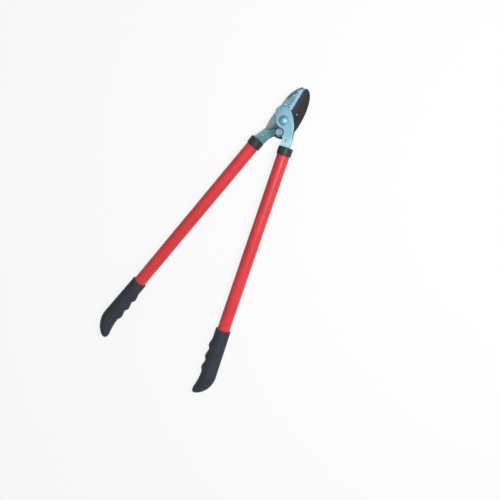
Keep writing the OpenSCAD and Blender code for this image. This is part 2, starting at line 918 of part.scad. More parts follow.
module stop_pin() {
    color("gainsboro")
        translate([stop_at.x, stop_at.y, mid_z - half_blade]) {
            cylinder(d = stop_d, h = blade_t + stop_h * 0.7);
            translate([0, 0, blade_t + stop_h * 0.7])
                cap(stop_d, stop_h * 0.3);
        }
}

module right_collar() {
    color([0.13, 0.13, 0.14])
        right_handle()
            collar(cheek_out);
}

module right_insert() {
    color([0.2, 0.2, 0.2])
        right_handle()
            insert(cheek_out);
}

module right_tang_pin() {
    color("silver")
        right_handle()
            tang_pin();
}

module right_tube() {
    color([0.84, 0.3, 0.31])
        right_handle()
            tube();
}

module right_grip() {
    color([0.22, 0.24, 0.27])
        right_handle()
            grip();
}

module left_collar() {
    color([0.13, 0.13, 0.14])
        left_handle()
            collar(lever_out);
}

module left_insert() {
    color([0.2, 0.2, 0.2])
        left_handle()
            insert(lever_out);
}

module left_tang_pin() {
    color("silver")
        left_handle()
            tang_pin();
}

module left_tube() {
    color([0.84, 0.3, 0.31])
        left_handle()
            tube();
}

module left_grip() {
    color([0.22, 0.24, 0.27])
        left_handle()
            grip();
}

front_cheek();
rear_cheek();
cheek_spacer();
cheek_rivets();
anvil_jaw();
jaw_rivets();
anvil_pad();
pad_pins();
pivot_bolt();
pivot_washers();
pivot_nut();
thrust_washers();
right_collar();
right_insert();
right_tang_pin();
right_tube();
right_grip();
blade();
front_lever_plate();
rear_lever_plate();
lever_rivets();
bumper_rings();
bumper_bolt();
bumper_washers();
bumper_nut();
stop_pin();
left_collar();
left_insert();
left_tang_pin();
left_tube();
left_grip();
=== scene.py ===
"""Looks of an anvil lopper: softened edges, finishes, new grips and a small white studio.

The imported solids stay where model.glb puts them. Modifiers round their edges, each one gets a finish
made of nodes, and both grips are modelled again with a finer skin.
"""

import logging
import math
from abc import ABC, abstractmethod
from dataclasses import dataclass, field
from enum import Enum

import bmesh
import bpy
from mathutils import Matrix, Vector


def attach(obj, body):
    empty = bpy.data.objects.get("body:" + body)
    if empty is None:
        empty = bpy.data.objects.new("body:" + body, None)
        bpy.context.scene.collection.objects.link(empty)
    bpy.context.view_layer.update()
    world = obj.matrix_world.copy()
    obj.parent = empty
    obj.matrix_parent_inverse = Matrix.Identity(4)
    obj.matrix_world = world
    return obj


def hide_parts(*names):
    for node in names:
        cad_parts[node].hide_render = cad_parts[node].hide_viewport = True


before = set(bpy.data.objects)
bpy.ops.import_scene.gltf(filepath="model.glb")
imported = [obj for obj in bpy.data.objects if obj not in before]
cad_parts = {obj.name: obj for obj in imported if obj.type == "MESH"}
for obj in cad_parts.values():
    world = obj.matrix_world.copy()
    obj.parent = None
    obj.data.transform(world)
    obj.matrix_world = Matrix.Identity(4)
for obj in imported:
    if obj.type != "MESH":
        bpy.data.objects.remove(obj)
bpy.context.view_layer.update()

LOG = logging.getLogger("anvil_lopper")
MM = 0.001
MIDDLE = 16.5 * MM
ARM_LEAN = math.radians(11.1)
QUARTER = math.pi / 2

Colour = tuple[float, float, float, float]
Socket = bpy.types.NodeSocket
Feed = Socket | float | tuple
Inputs = dict[str, Socket]


def shade(red: int, green: int, blue: int) -> Colour:
    """Turns a colour as seen on a screen into the linear one that shaders use.

    Args:
        red: Red from 0 to 255.
        green: Green from 0 to 255.
        blue: Blue from 0 to 255.

    Returns:
        The linear colour with full alpha.
    """
    def linear(level: int) -> float:
        """One channel of the colour, made linear by the usual curve of screens."""
        part = level / 255
        return part / 12.92 if part <= 0.04045 else ((part + 0.055) / 1.055) ** 2.4

    return linear(red), linear(green), linear(blue), 1.0


WHITE = (1.0, 1.0, 1.0, 1.0)
# Colour of the painted shade in the corners where pieces meet.
CREVICE_SHADE_COLOUR = shade(38, 44, 52)


class Side(Enum):
    """The two handles, as they lie in the picture."""

    RIGHT = "right"
    LEFT = "left"

    @property
    def body(self) -> str:
        """The moving body that this handle belongs to."""
        return "anvil_arm" if self is Side.RIGHT else "blade_arm"

    @property
    def sign(self) -> int:
        """1 for the right handle and -1 for the left one."""
        return 1 if self is Side.RIGHT else -1

    @property
    def across(self) -> float:
        """How far the handle's line passes beside the pivot."""
        return 23 * MM if self is Side.RIGHT else 18 * MM

    @property
    def neck(self) -> float:
        """Distance of the collar's mouth from the pivot along the handle."""
        return 47 * MM if self is Side.RIGHT else 63 * MM

    @property
    def ahead(self) -> Vector:
        """Direction along the handle towards the head."""
        return Vector((-self.sign * math.sin(ARM_LEAN), math.cos(ARM_LEAN), 0.0))

    @property
    def mouth(self) -> Vector:
        """Middle of the collar's mouth."""
        return Vector((self.sign * self.across, 0.0, MIDDLE)) - self.ahead * self.neck


class Effect(Enum):
    """Node groups that several finishes share."""

    RIM = "plate_rim_wear"
    WEAR = "corner_wear"
    GRAIN = "brushed_grain"
    SCRATCHES = "fine_scratches"
    MOTTLE = "handling_mottle"
    SKIN = "moulded_skin"
    # Painted shade in the corners where pieces meet, found by ambient occlusion.
    CREVICE_SHADE = "painted_crevice_shade"


class Grain(Enum):
    """Directions that a surface is brushed or ground in, as turns from the X axis in radians."""

    ALONG_RIGHT_HANDLE = math.radians(101.1)
    ALONG_LEFT_HANDLE = math.radians(78.9)
    ALONG_EDGE = math.radians(88.5)
    ACROSS_EDGE = math.radians(-1.5)
    LENGTHWISE = math.radians(90.0)


@dataclass
class NodeSheet:
    """A node tree with short calls that add and join its nodes."""

    tree: bpy.types.NodeTree
    mix_inputs: tuple[int, int, int] = (0, 6, 7)
    mix_output: int = 2
    plain_sums: tuple[str, ...] = ("DOT_PRODUCT", "LENGTH")

    def add(self, kind: str, **settings: object) -> bpy.types.Node:
        """Adds a node.

        Args:
            kind: Blender's name for the type of node.
            settings: Properties of the node by name.

        Returns:
            The new node.
        """
        node = self.tree.nodes.new(kind)
        for name, value in settings.items():
            setattr(node, name, value)
        return node

    def feed(self, socket: Socket, source: Feed) -> None:
        """Joins a socket to another one, or sets it to a value.

        Args:
            socket: The socket that takes the value.
            source: A socket to read or a plain value.
        """
        if isinstance(source, Socket):
            self.tree.links.new(source, socket)
        else:
            socket.default_value = source

    def wire(self, node: bpy.types.Node, *sources: Feed) -> bpy.types.Node:
        """Feeds the first sockets of a node in their order.

        Args:
            node: The node to feed.
            sources: What its sockets take.

        Returns:
            The same node.
        """
        for socket, source in zip(node.inputs, sources):
            self.feed(socket, source)
        return node

    def fill(self, node: bpy.types.Node, **sources: Feed) -> bpy.types.Node:
        """Feeds the named sockets of a node.

        Args:
            node: The node to feed.
            sources: What its sockets take, by name, with _ for a space.

        Returns:
            The same node.
        """
        for name, source in sources.items():
            self.feed(node.inputs[name.replace("_", " ")], source)
        return node

    def math(self, operation: str, first: Feed, second: Feed = 0.0) -> Socket:
        """Does a sum, by Blender's name for it, with one or two values."""
        return self.wire(self.add("ShaderNodeMath", operation=operation), first, second).outputs[0]

    def times(self, first: Feed, second: Feed) -> Socket:
        """Multiplies two values."""
        return self.math("MULTIPLY", first, second)

    def vector(self, operation: str, first: Feed, second: Feed = (0.0, 0.0, 0.0)) -> Socket:
        """Does a sum, by Blender's name for it, with vectors, and gives a vector or a plain value."""
        node = self.wire(self.add("ShaderNodeVectorMath", operation=operation), first, second)
        return node.outputs["Value" if operation in self.plain_sums else "Vector"]

    def span(self, value: Feed, low: float, high: float, start: Feed = 0.0, end: Feed = 1.0) -> Socket:
        """Maps a value smoothly from low and high to start and end, and holds it beyond them."""
        node = self.add("ShaderNodeMapRange", interpolation_type="SMOOTHSTEP")
        return self.wire(node, value, low, high, start, end).outputs[0]

    def mix(self, share: Feed, first: Feed, second: Feed) -> Socket:
        """Mixes two colours.

        Args:
            share: Share of the second colour.
            first: First colour.
            second: Second colour.

        Returns:
            The socket that holds the mixed colour.
        """
        node = self.add("ShaderNodeMix", data_type="RGBA")
        for index, source in zip(self.mix_inputs, (share, first, second)):
            self.feed(node.inputs[index], source)
        return node.outputs[self.mix_output]

    def blend(self, first: Feed, second: Feed, share: float) -> Socket:
        """Adds two values, the first by its share and the second by the rest."""
        rest = self.times(second, 1.0 - share)
        return self.math("ADD", self.times(first, share), rest)

    def noise(self, place: Feed, scale: Feed, detail: float = 3.0) -> Socket:
        """Adds a soft random field from 0 to 1, where scale counts its waves in a metre."""
        node = self.add("ShaderNodeTexNoise")
        return self.fill(node, Vector=place, Scale=scale, Detail=detail).outputs[0]

    def stretched(self, place: Feed, turn: Feed, scale: Feed) -> Socket:
        """Turns a place by three angles and divides it by a size on each axis."""
        node = self.add("ShaderNodeMapping", vector_type="TEXTURE")
        return self.fill(node, Vector=place, Rotation=turn, Scale=scale).outputs[0]

    def triple(self, x: Feed, y: Feed, z: Feed) -> Socket:
        """Joins three values into one vector."""
        return self.wire(self.add("ShaderNodeCombineXYZ"), x, y, z).outputs[0]

    def parts(self, place: Feed) -> bpy.types.bpy_prop_collection:
        """Splits a vector into its three values."""
        return self.wire(self.add("ShaderNodeSeparateXYZ"), place).outputs

    def along(self, place: Feed, start: Vector, end: Vector) -> Socket:
        """Measures how far a place lies from one point towards another.

        Args:
            place: The place to measure.
            start: Point where the measure is 0.
            end: Point where the measure is 1.

        Returns:
            The socket that holds the measure.
        """
        run = end - start
        moved = self.vector("SUBTRACT", place, tuple(start))
        return self.vector("DOT_PRODUCT", moved, tuple(run / run.length_squared))


Started = tuple[NodeSheet, Inputs, Socket]


def start_tree(name: str, kind: str, inputs: dict[str, str], result: str, result_kind: str) -> Started:
    """Starts a node tree with named inputs and one result.

    Args:
        name: Name of the tree.
        kind: Blender's name for the type of tree.
        inputs: Types of the inputs by name.
        result: Name of the result.
        result_kind: Type of the result.

    Returns:
        The tree's sheet, its inputs by name and the socket that takes the result.
    """
    tree = bpy.data.node_groups.new(name, kind)
    for title, input_kind in inputs.items():
        tree.interface.new_socket(title, in_out="INPUT", socket_type=f"NodeSocket{input_kind}")
    tree.interface.new_socket(result, in_out="OUTPUT", socket_type=f"NodeSocket{result_kind}")
    sheet = NodeSheet(tree)
    given = sheet.add("NodeGroupInput").outputs
    ends = sheet.add("NodeGroupOutput").inputs
    return sheet, {title: given[title] for title in inputs}, ends[result]


def cleared(holder: bpy.types.Material | bpy.types.World) -> NodeSheet:
    """Empties the node tree of a new material or world.

    Args:
        holder: The material or the world.

    Returns:
        The sheet of its empty tree.
    """
    holder.use_nodes = True
    holder.node_tree.nodes.clear()
    return NodeSheet(holder.node_tree)


def add_mesh(name: str, made: bmesh.types.BMesh) -> bpy.types.Object:
    """Turns a finished mesh into an object of the scene.

    Args:
        name: Name of the object and of its mesh.
        made: The mesh, which is freed.

    Returns:
        The new object.
    """
    mesh = bpy.data.meshes.new(name)
    made.to_mesh(mesh)
    made.free()
    piece = bpy.data.objects.new(name, mesh)
    bpy.context.scene.collection.objects.link(piece)
    return piece


@dataclass
class Effects:
    """The shared node groups, each made once and placed with its own values."""

    made: dict[Effect, bpy.types.NodeTree] = field(default_factory=dict)
    corner_samples: int = 4
    crevice_samples: int = 8
    contrast: tuple[float, float] = (0.36, 0.64)
    broad_streaks: float = 3.7
    fine_streak_share: float = 0.6
    scratch_turns: tuple[float, ...] = (20.0, 78.0, -43.0)
    fine_patches: float = 5.3
    broad_patch_share: float = 0.65
    grit_rate: float = 2.6
    grit_share: float = 0.5

    def start(self, effect: Effect, values: tuple[str, ...], result: str) -> Started:
        """Starts a group that reads a place and some values and gives one value.

        Args:
            effect: The effect that the group makes.
            values: Names of the number inputs.
            result: Name of the output.

        Returns:
            The group's sheet, its inputs by name, and the socket that takes the result.
        """
        inputs = {"Place": "Vector", **dict.fromkeys(values, "Float")}
        started = start_tree(effect.value, "ShaderNodeTree", inputs, result, "Float")
        self.made[effect] = started[0].tree
        return started

    def build(self) -> None:
        """Makes every group."""
        self.rim_wear()
        self.corner_wear()
        self.brushed_grain()
        self.fine_scratches()
        self.handling_mottle()
        self.moulded_skin()
        self.painted_crevice_shade()

    def patches(self, sheet: NodeSheet, given: Inputs, low: float, high: float, least: float) -> Socket:
        """Makes a mask that runs from its least to 1 between two levels of a random field."""
        scale = sheet.math("DIVIDE", 1.0, given["Patch Size"])
        return sheet.span(sheet.noise(given["Place"], scale), low, high, start=least)

    def rim_wear(self) -> None:
        """Marks the rounded rims of flat plates, broken into patches."""
        sheet, given, result = self.start(Effect.RIM, ("Patch Size",), "Mask")
        normal = sheet.add("ShaderNodeTexCoord").outputs["Normal"]
        upright = sheet.math("POWER", sheet.parts(normal)[2], 2.0)
        slant = sheet.times(upright, sheet.math("SUBTRACT", 1.0, upright))
        patches = self.patches(sheet, given, low=0.35, high=0.6, least=0.35)
        sheet.feed(result, sheet.times(sheet.span(slant, low=0.06, high=0.22), patches))

    def corner_wear(self) -> None:
        """Marks convex corners of any shape by how fast the surface turns there."""
        sheet, given, result = self.start(Effect.WEAR, ("Reach", "Patch Size"), "Mask")
        soft = sheet.add("ShaderNodeBevel", samples=self.corner_samples)
        sheet.fill(soft, Radius=given["Reach"])
        normal = sheet.add("ShaderNodeNewGeometry").outputs["Normal"]
        bend = sheet.math("SUBTRACT", 1.0, sheet.vector("DOT_PRODUCT", soft.outputs[0], normal))
        patches = self.patches(sheet, given, low=0.38, high=0.62, least=0.25)
        sheet.feed(result, sheet.times(sheet.span(bend, low=0.01, high=0.12), patches))

    def brushed_grain(self) -> None:
        """Makes fine parallel streaks in one direction."""
        sheet, given, result = self.start(Effect.GRAIN, ("Turn", "Length", "Pitch"), "Streak")
        turn = sheet.triple(0.0, 0.0, given["Turn"])
        broad_pitch = sheet.times(given["Pitch"], self.broad_streaks)
        layers = []
        for pitch in (given["Pitch"], broad_pitch):
            place = sheet.stretched(given["Place"], turn, sheet.triple(given["Length"], pitch, pitch))
            layers.append(sheet.noise(place, scale=1.0, detail=2.0))
        sheet.feed(result, sheet.span(sheet.blend(*layers, self.fine_streak_share), *self.contrast))

    def fine_scratches(self) -> None:
        """Makes sparse thin lines in three directions."""
        sheet, given, result = self.start(Effect.SCRATCHES, ("Length", "Width"), "Mask")
        size = sheet.triple(given["Length"], given["Width"], given["Length"])
        lines = []
        for turn in self.scratch_turns:
            place = sheet.stretched(given["Place"], (0.0, 0.0, math.radians(turn)), size)
            lines.append(sheet.span(sheet.noise(place, scale=1.0, detail=1.0), low=0.68, high=0.74))
        both = sheet.math("MAXIMUM", lines[0], lines[1])
        sheet.feed(result, sheet.math("MAXIMUM", both, lines[2]))

    def handling_mottle(self) -> None:
        """Makes broad soft patches with finer ones inside them."""
        sheet, given, result = self.start(Effect.MOTTLE, ("Size",), "Patch")
        scale = sheet.math("DIVIDE", 1.0, given["Size"])
        broad = sheet.noise(given["Place"], scale, detail=2.0)
        fine = sheet.noise(given["Place"], sheet.times(scale, self.fine_patches), detail=4.0)
        sheet.feed(result, sheet.span(sheet.blend(broad, fine, self.broad_patch_share), *self.contrast))

    def moulded_skin(self) -> None:
        """Makes the small pebbles of a textured mould."""
        sheet, given, result = self.start(Effect.SKIN, ("Pitch",), "Height")
        scale = sheet.math("DIVIDE", 1.0, given["Pitch"])
        cells = sheet.add("ShaderNodeTexVoronoi", feature="SMOOTH_F1")
        sheet.fill(cells, Vector=given["Place"], Scale=scale)
        grit = sheet.noise(given["Place"], sheet.times(scale, self.grit_rate), detail=2.0)
        pebble = sheet.math("SUBTRACT", 1.0, cells.outputs["Distance"])
        sheet.feed(result, sheet.math("ADD", pebble, sheet.times(grit, self.grit_share)))

    def painted_crevice_shade(self) -> None:
        """Marks the corners where pieces meet, broken up a little, for painted shade there."""
        sheet, given, result = self.start(Effect.CREVICE_SHADE, ("Reach", "Patch Size"), "Mask")
        corners = sheet.add("ShaderNodeAmbientOcclusion", samples=self.crevice_samples)
        sheet.fill(corners, Distance=given["Reach"])
        patches = self.patches(sheet, given, low=0.3, high=0.6, least=0.6)
        hidden = sheet.span(corners.outputs["AO"], low=0.45, high=0.95, start=1.0, end=0.0)
        sheet.feed(result, sheet.times(hidden, patches))


@dataclass(frozen=True)
class Drift:
    """A slow change of colour across a piece.

    It begins at one point and has its full share at the other, seen from above, in millimetres.
    """

    colour: Colour
    start: tuple[float, float]
    end: tuple[float, float]
    share: float

    def points(self) -> list[Vector]:
        """Both points in metres."""
        return [Vector((x * MM, y * MM, 0.0)) for x, y in (self.start, self.end)]


@dataclass(frozen=True)
class Lines:
    """Length and width of streaks or scratches in metres."""

    length: float
    width: float


@dataclass
class Coating:
    """A material under way: its nodes, its shader and the place that its effects read."""

    name: str
    effects: Effects
    material: bpy.types.Material = field(init=False)
    sheet: NodeSheet = field(init=False)
    shader: bpy.types.Node = field(init=False)
    spot: Socket = field(init=False)

    def __post_init__(self) -> None:
        """Makes the material with an empty shader."""
        self.material = bpy.data.materials.new(self.name)
        self.sheet = cleared(self.material)
        self.shader = self.sheet.add("ShaderNodeBsdfPrincipled")
        self.sheet.fill(self.sheet.add("ShaderNodeOutputMaterial"), Surface=self.shader.outputs[0])
        self.spot = self.sheet.add("ShaderNodeTexCoord").outputs["Object"]

    def effect(self, effect: Effect, **values: float) -> Socket:
        """Puts an effect into this material, with _ for a space in the names of its values."""
        node = self.sheet.add("ShaderNodeGroup", node_tree=self.effects.made[effect])
        return self.sheet.fill(node, Place=self.spot, **values).outputs[0]

    def streaks(self, grain: Grain, lines: Lines) -> Socket:
        """Puts streaks in one direction into this material."""
        return self.effect(Effect.GRAIN, Turn=grain.value, Length=lines.length, Pitch=lines.width)

    def scratches(self, lines: Lines) -> Socket:
        """Puts sparse scratches into this material."""
        return self.effect(Effect.SCRATCHES, Length=lines.length, Width=lines.width)

    def tint(self, colour: Feed, other: Feed, mask: Socket, share: float) -> Socket:
        """Mixes another colour in by a share of a mask."""
        return self.sheet.mix(self.sheet.times(mask, share), colour, other)

    def shade_crevices(self, colour: Feed, reach: float, patch: float, share: float) -> Socket:
        """Darkens a colour by a share of painted shade in the corners where pieces meet, given its
        reach and size of patches.
        """
        crevice_mask = self.effect(Effect.CREVICE_SHADE, Reach=reach, Patch_Size=patch)
        return self.tint(colour, CREVICE_SHADE_COLOUR, crevice_mask, share)

    def raised(self, value: Feed, mask: Socket, share: float) -> Socket:
        """Adds a share of a mask to a value."""
        return self.sheet.math("ADD", value, self.sheet.times(mask, share))

    def emboss(self, height: Feed, depth: float, strength: float = 1.0) -> None:
        """Raises the surface by a height field.

        Args:
            height: The field.
            depth: How deep a height of 1 is, in metres.
            strength: Share of the effect that shows.
        """
        bump = self.sheet.add("ShaderNodeBump")
        self.sheet.fill(bump, Strength=strength, Distance=depth, Height=height)
        self.sheet.fill(self.shader, Normal=bump.outputs[0])

    def drifted(self, colour: Feed, drifts: tuple[Drift, ...]) -> Feed:
        """Lets a colour drift towards others across the piece.

        Args:
            colour: The colour before.
            drifts: The slow changes, the later ones on top.

        Returns:
            The colour after.
        """
        for drift in drifts:
            run = self.sheet.along(self.spot, *drift.points())
            share = self.sheet.span(run, low=0.0, high=1.0, end=drift.share)
            colour = self.sheet.mix(share, colour, drift.colour)
        return colour


@dataclass(frozen=True)
class Finish(ABC):
    """A finish that lays its nodes into a material of its own."""

    name: str

    @abstractmethod
    def lay(self, coat: Coating) -> None:
        """Joins the finish's nodes to the shader.

        Args:
            coat: The material under way.
        """

    def make(self, effects: Effects) -> bpy.types.Material:
        """Makes the finish's material.

        Args:
            effects: The shared node groups.

        Returns:
            The material.
        """
        coat = Coating(self.name, effects)
        self.lay(coat)
        return coat.material


@dataclass(frozen=True)
class MetalFinish(Finish):
    """Plated or bright metal with grain, handling marks and worn rims.

    A corner reach above 0 marks corners of any shape instead of the rims of flat plates.
    """

    colour: Colour
    dull: Colour
    worn: Colour
    roughness: float
    grain: Grain = Grain.ACROSS_EDGE
    grain_share: float = 0.2
    mottle_size: float = 8 * MM
    rim_wear: float = 0.5
    corner_reach: float = 0.0
    drifts: tuple[Drift, ...] = ()
    crevice_shade: float = 0.55
    rim_polish: float = 0.1
    streaks: Lines = Lines(30 * MM, 0.4 * MM)
    scratches: Lines = Lines(16 * MM, 0.3 * MM)
    corner_patch: float = 4 * MM
    rim_patch: float = 5 * MM
    crevice_shade_reach: float = 4 * MM
    crevice_shade_patch: float = 5 * MM
    mottle_share: float = 0.7
    scratch_share: float = 0.35
    mottle_rough: float = 0.14
    streak_rough: float = 0.08
    relief: float = 0.02 * MM

    def lay(self, coat: Coating) -> None:
        """Joins the metal's nodes to the shader.

        Args:
            coat: The material under way.
        """
        mottle = coat.effect(Effect.MOTTLE, Size=self.mottle_size)
        streak = coat.streaks(self.grain, self.streaks)
        scratch = coat.scratches(self.scratches)
        if self.corner_reach > 0:
            rim = coat.effect(Effect.WEAR, Reach=self.corner_reach, Patch_Size=self.corner_patch)
        else:
            rim = coat.effect(Effect.RIM, Patch_Size=self.rim_patch)
        colour = coat.tint(self.colour, self.dull, mottle, self.mottle_share)
        # The drifts carry painted reflections on the cheeks and a painted shadow on the levers.
        colour = coat.drifted(colour, self.drifts)
        colour = coat.tint(colour, self.dull, streak, self.grain_share)
        colour = coat.tint(colour, self.worn, scratch, self.scratch_share)
        colour = coat.tint(colour, self.worn, rim, self.rim_wear)
        # Painted shade in the corners where pieces meet.
        colour = coat.shade_crevices(colour, self.crevice_shade_reach, self.crevice_shade_patch, self.crevice_shade)
        rough = coat.raised(self.roughness, mottle, self.mottle_rough)
        rough = coat.raised(rough, streak, self.streak_rough)
        rough = coat.raised(rough, rim, -self.rim_polish)
        coat.sheet.fill(coat.shader, Base_Color=colour, Metallic=1.0, Roughness=rough)
        coat.emboss(coat.sheet.math("SUBTRACT", streak, scratch), self.relief)


@dataclass(frozen=True)
class CastFinish(Finish):
    """Metal from a mould: a fine sandy skin, soft patches and rubbed rims."""

    colour: Colour
    dull: Colour
    worn: Colour
    roughness: float
    drifts: tuple[Drift, ...] = ()
    mottle_size: float = 12 * MM
    sand_pitch: float = 0.9 * MM
    pit_low: float = 0.75
    pit_high: float = 1.05
    pit_share: float = 0.12
    rim_patch: float = 6 * MM
    rim_wear: float = 0.25
    crevice_shade_reach: float = 4 * MM
    crevice_shade_patch: float = 5 * MM
    crevice_shade: float = 0.5
    mottle_rough: float = 0.15
    rim_polish: float = 0.15
    relief: float = 0.03 * MM
    relief_share: float = 0.35

    def lay(self, coat: Coating) -> None:
        """Joins the cast metal's nodes to the shader.

        Args:
            coat: The material under way.
        """
        mottle = coat.effect(Effect.MOTTLE, Size=self.mottle_size)
        sand = coat.effect(Effect.SKIN, Pitch=self.sand_pitch)
        rim = coat.effect(Effect.RIM, Patch_Size=self.rim_patch)
        pits = coat.sheet.span(sand, self.pit_low, self.pit_high, start=self.pit_share, end=0.0)
        colour = coat.sheet.mix(mottle, self.colour, self.dull)
        # The drifts carry the jaw's painted light and shade.
        colour = coat.drifted(colour, self.drifts)
        colour = coat.sheet.mix(pits, colour, self.dull)
        colour = coat.tint(colour, self.worn, rim, self.rim_wear)
        # Painted shade in the corners where pieces meet.
        colour = coat.shade_crevices(colour, self.crevice_shade_reach, self.crevice_shade_patch, self.crevice_shade)
        rough = coat.raised(self.roughness, mottle, self.mottle_rough)
        rough = coat.raised(rough, rim, -self.rim_polish)
        coat.sheet.fill(coat.shader, Base_Color=colour, Metallic=1.0, Roughness=rough)
        coat.emboss(sand, self.relief, self.relief_share)


@dataclass(frozen=True)
class BladeFinish(Finish):
    """A steel blade with a black slip coat, a ground bevel, a bare edge and a bare tang with a painted
    shadow on it.
    """

    coat: Colour
    coat_light: Colour
    bevel: Colour
    steel: Colour
    steel_dull: Colour
    painted_tang_shadow: tuple[Drift, ...] = ()
    edge_start: tuple[float, float] = (4.0 * MM, 25.0 * MM)
    edge_lean: float = math.radians(1.5)
    bare_width: float = 0.5 * MM
    bare_full: float = 0.3 * MM
    bevel_width: float = 9.0 * MM
    bevel_blur: float = 0.15 * MM
    tang_from: float = -1.0 * MM
    tang_to: float = -4.0 * MM
    mottle_size: float = 14 * MM
    ground_lines: Lines = Lines(20 * MM, 0.35 * MM)
    brushed_lines: Lines = Lines(30 * MM, 0.4 * MM)
    scratches: Lines = Lines(20 * MM, 0.3 * MM)
    rim_patch: float = 4 * MM
    crevice_shade_reach: float = 6 * MM
    crevice_shade_patch: float = 6 * MM
    crevice_shade: float = 0.75
    coat_mottle: float = 0.8
    ground_least: float = 0.45
    ground_most: float = 0.9
    scratch_share: float = 0.12
    brushed_share: float = 0.55
    steel_mottle: float = 0.5
    rim_wear: float = 0.3
    coat_roughness: float = 0.42
    steel_roughness: float = 0.34
    mottle_rough: float = 0.12
    coat_ior: float = 1.4
    relief: float = 0.02 * MM

    def lay(self, coat: Coating) -> None:
        """Joins the blade's nodes to the shader.

        Args:
            coat: The material under way.
        """
        sheet = coat.sheet
        begin = Vector((*self.edge_start, 0.0))
        beside = Vector((math.cos(self.edge_lean), -math.sin(self.edge_lean), 0.0))
        depth = sheet.along(coat.spot, begin, begin + beside)
        bevel_from = self.bevel_width - self.bevel_blur
        bevel_to = self.bevel_width + self.bevel_blur
        on_bevel = sheet.span(depth, bevel_from, bevel_to, start=1.0, end=0.0)
        bare_edge = sheet.span(depth, self.bare_full, self.bare_width, start=1.0, end=0.0)
        side = sheet.along(coat.spot, Vector((self.tang_from, 0, 0)), Vector((self.tang_to, 0, 0)))
        on_tang = sheet.span(side, low=0.0, high=1.0)
        mottle = coat.effect(Effect.MOTTLE, Size=self.mottle_size)
        ground = coat.streaks(Grain.ACROSS_EDGE, self.ground_lines)
        brushed = coat.streaks(Grain.ALONG_LEFT_HANDLE, self.brushed_lines)
        scratch = coat.scratches(self.scratches)
        rim = coat.effect(Effect.RIM, Patch_Size=self.rim_patch)
        black = coat.tint(self.coat, self.coat_light, mottle, self.coat_mottle)
        ground_share = sheet.span(ground, 0.0, 1.0, self.ground_least, self.ground_most)
        black = sheet.mix(sheet.times(on_bevel, ground_share), black, self.bevel)
        black = coat.tint(black, self.steel_dull, scratch, self.scratch_share)
        bare = coat.tint(self.steel, self.steel_dull, brushed, self.brushed_share)
        bare = coat.tint(bare, self.steel_dull, mottle, self.steel_mottle)
        # Painted shadow on the bare tang.
        bare = coat.drifted(bare, self.painted_tang_shadow)
        # Painted shade in the corners where pieces meet.
        bare = coat.shade_crevices(bare, self.crevice_shade_reach, self.crevice_shade_patch, self.crevice_shade)
        rubbed = sheet.times(rim, self.rim_wear)
        metal = sheet.math("MAXIMUM", sheet.math("MAXIMUM", on_tang, bare_edge), rubbed)
        rough = sheet.span(metal, 0.0, 1.0, self.coat_roughness, self.steel_roughness)
        rough = coat.raised(rough, mottle, self.mottle_rough)
        colour = sheet.mix(metal, black, bare)
        sheet.fill(coat.shader, Base_Color=colour, Metallic=metal, Roughness=rough, IOR=self.coat_ior)
        lines = sheet.times(ground, on_bevel)
        coat.emboss(sheet.math("SUBTRACT", lines, scratch), self.relief)


@dataclass(frozen=True)
class PaintFinish(Finish):
    """Baked gloss paint on a tube, with a faint orange peel and a few scuffs."""

    colour: Colour
    deep: Colour
    scuff: Colour
    roughness: float
    ior: float = 1.45
    mottle_size: float = 50 * MM
    scratches: Lines = Lines(30 * MM, 0.4 * MM)
    peel_pitch: float = 2.2 * MM
    mottle_share: float = 0.6
    scratch_share: float = 0.22
    mottle_rough: float = 0.1
    scratch_rough: float = 0.15
    relief: float = 0.06 * MM
    relief_share: float = 0.35

    def lay(self, coat: Coating) -> None:
        """Joins the paint's nodes to the shader.

        Args:
            coat: The material under way.
        """
        mottle = coat.effect(Effect.MOTTLE, Size=self.mottle_size)
        scratch = coat.scratches(self.scratches)
        peel = coat.effect(Effect.SKIN, Pitch=self.peel_pitch)
        colour = coat.tint(self.colour, self.deep, mottle, self.mottle_share)
        colour = coat.tint(colour, self.scuff, scratch, self.scratch_share)
        rough = coat.raised(self.roughness, mottle, self.mottle_rough)
        rough = coat.raised(rough, scratch, self.scratch_rough)
        coat.sheet.fill(coat.shader, Base_Color=colour, Roughness=rough, IOR=self.ior)
        coat.emboss(peel, self.relief, self.relief_share)


@dataclass(frozen=True)
class MouldedFinish(Finish):
    """Moulded plastic or rubber with a pebbled skin, dull patches and polished corners."""

    colour: Colour
    faded: Colour
    worn: Colour
    roughness: float
    skin_pitch: float = 1.0 * MM
    skin_depth: float = 0.1 * MM
    skin_share: float = 0.6
    ior: float = 1.42
    mottle_size: float = 30 * MM
    scratches: Lines = Lines(20 * MM, 0.4 * MM)
    corner_reach: float = 1.2 * MM
    corner_patch: float = 6 * MM
    scratch_share: float = 0.2
    corner_wear: float = 0.5
    mottle_rough: float = 0.14
    corner_polish: float = 0.12

    def lay(self, coat: Coating) -> None:
        """Joins the moulded material's nodes to the shader.

        Args:
            coat: The material under way.
        """
        mottle = coat.effect(Effect.MOTTLE, Size=self.mottle_size)
        skin = coat.effect(Effect.SKIN, Pitch=self.skin_pitch)
        scratch = coat.scratches(self.scratches)
        corner = coat.effect(Effect.WEAR, Reach=self.corner_reach, Patch_Size=self.corner_patch)
        colour = coat.sheet.mix(mottle, self.colour, self.faded)
        colour = coat.tint(colour, self.worn, scratch, self.scratch_share)
        colour = coat.tint(colour, self.worn, corner, self.corner_wear)
        rough = coat.raised(self.roughness, mottle, self.mottle_rough)
        rough = coat.raised(rough, corner, -self.corner_polish)
        coat.sheet.fill(coat.shader, Base_Color=colour, Roughness=rough, IOR=self.ior)
        coat.emboss(skin, self.skin_depth, self.skin_share)


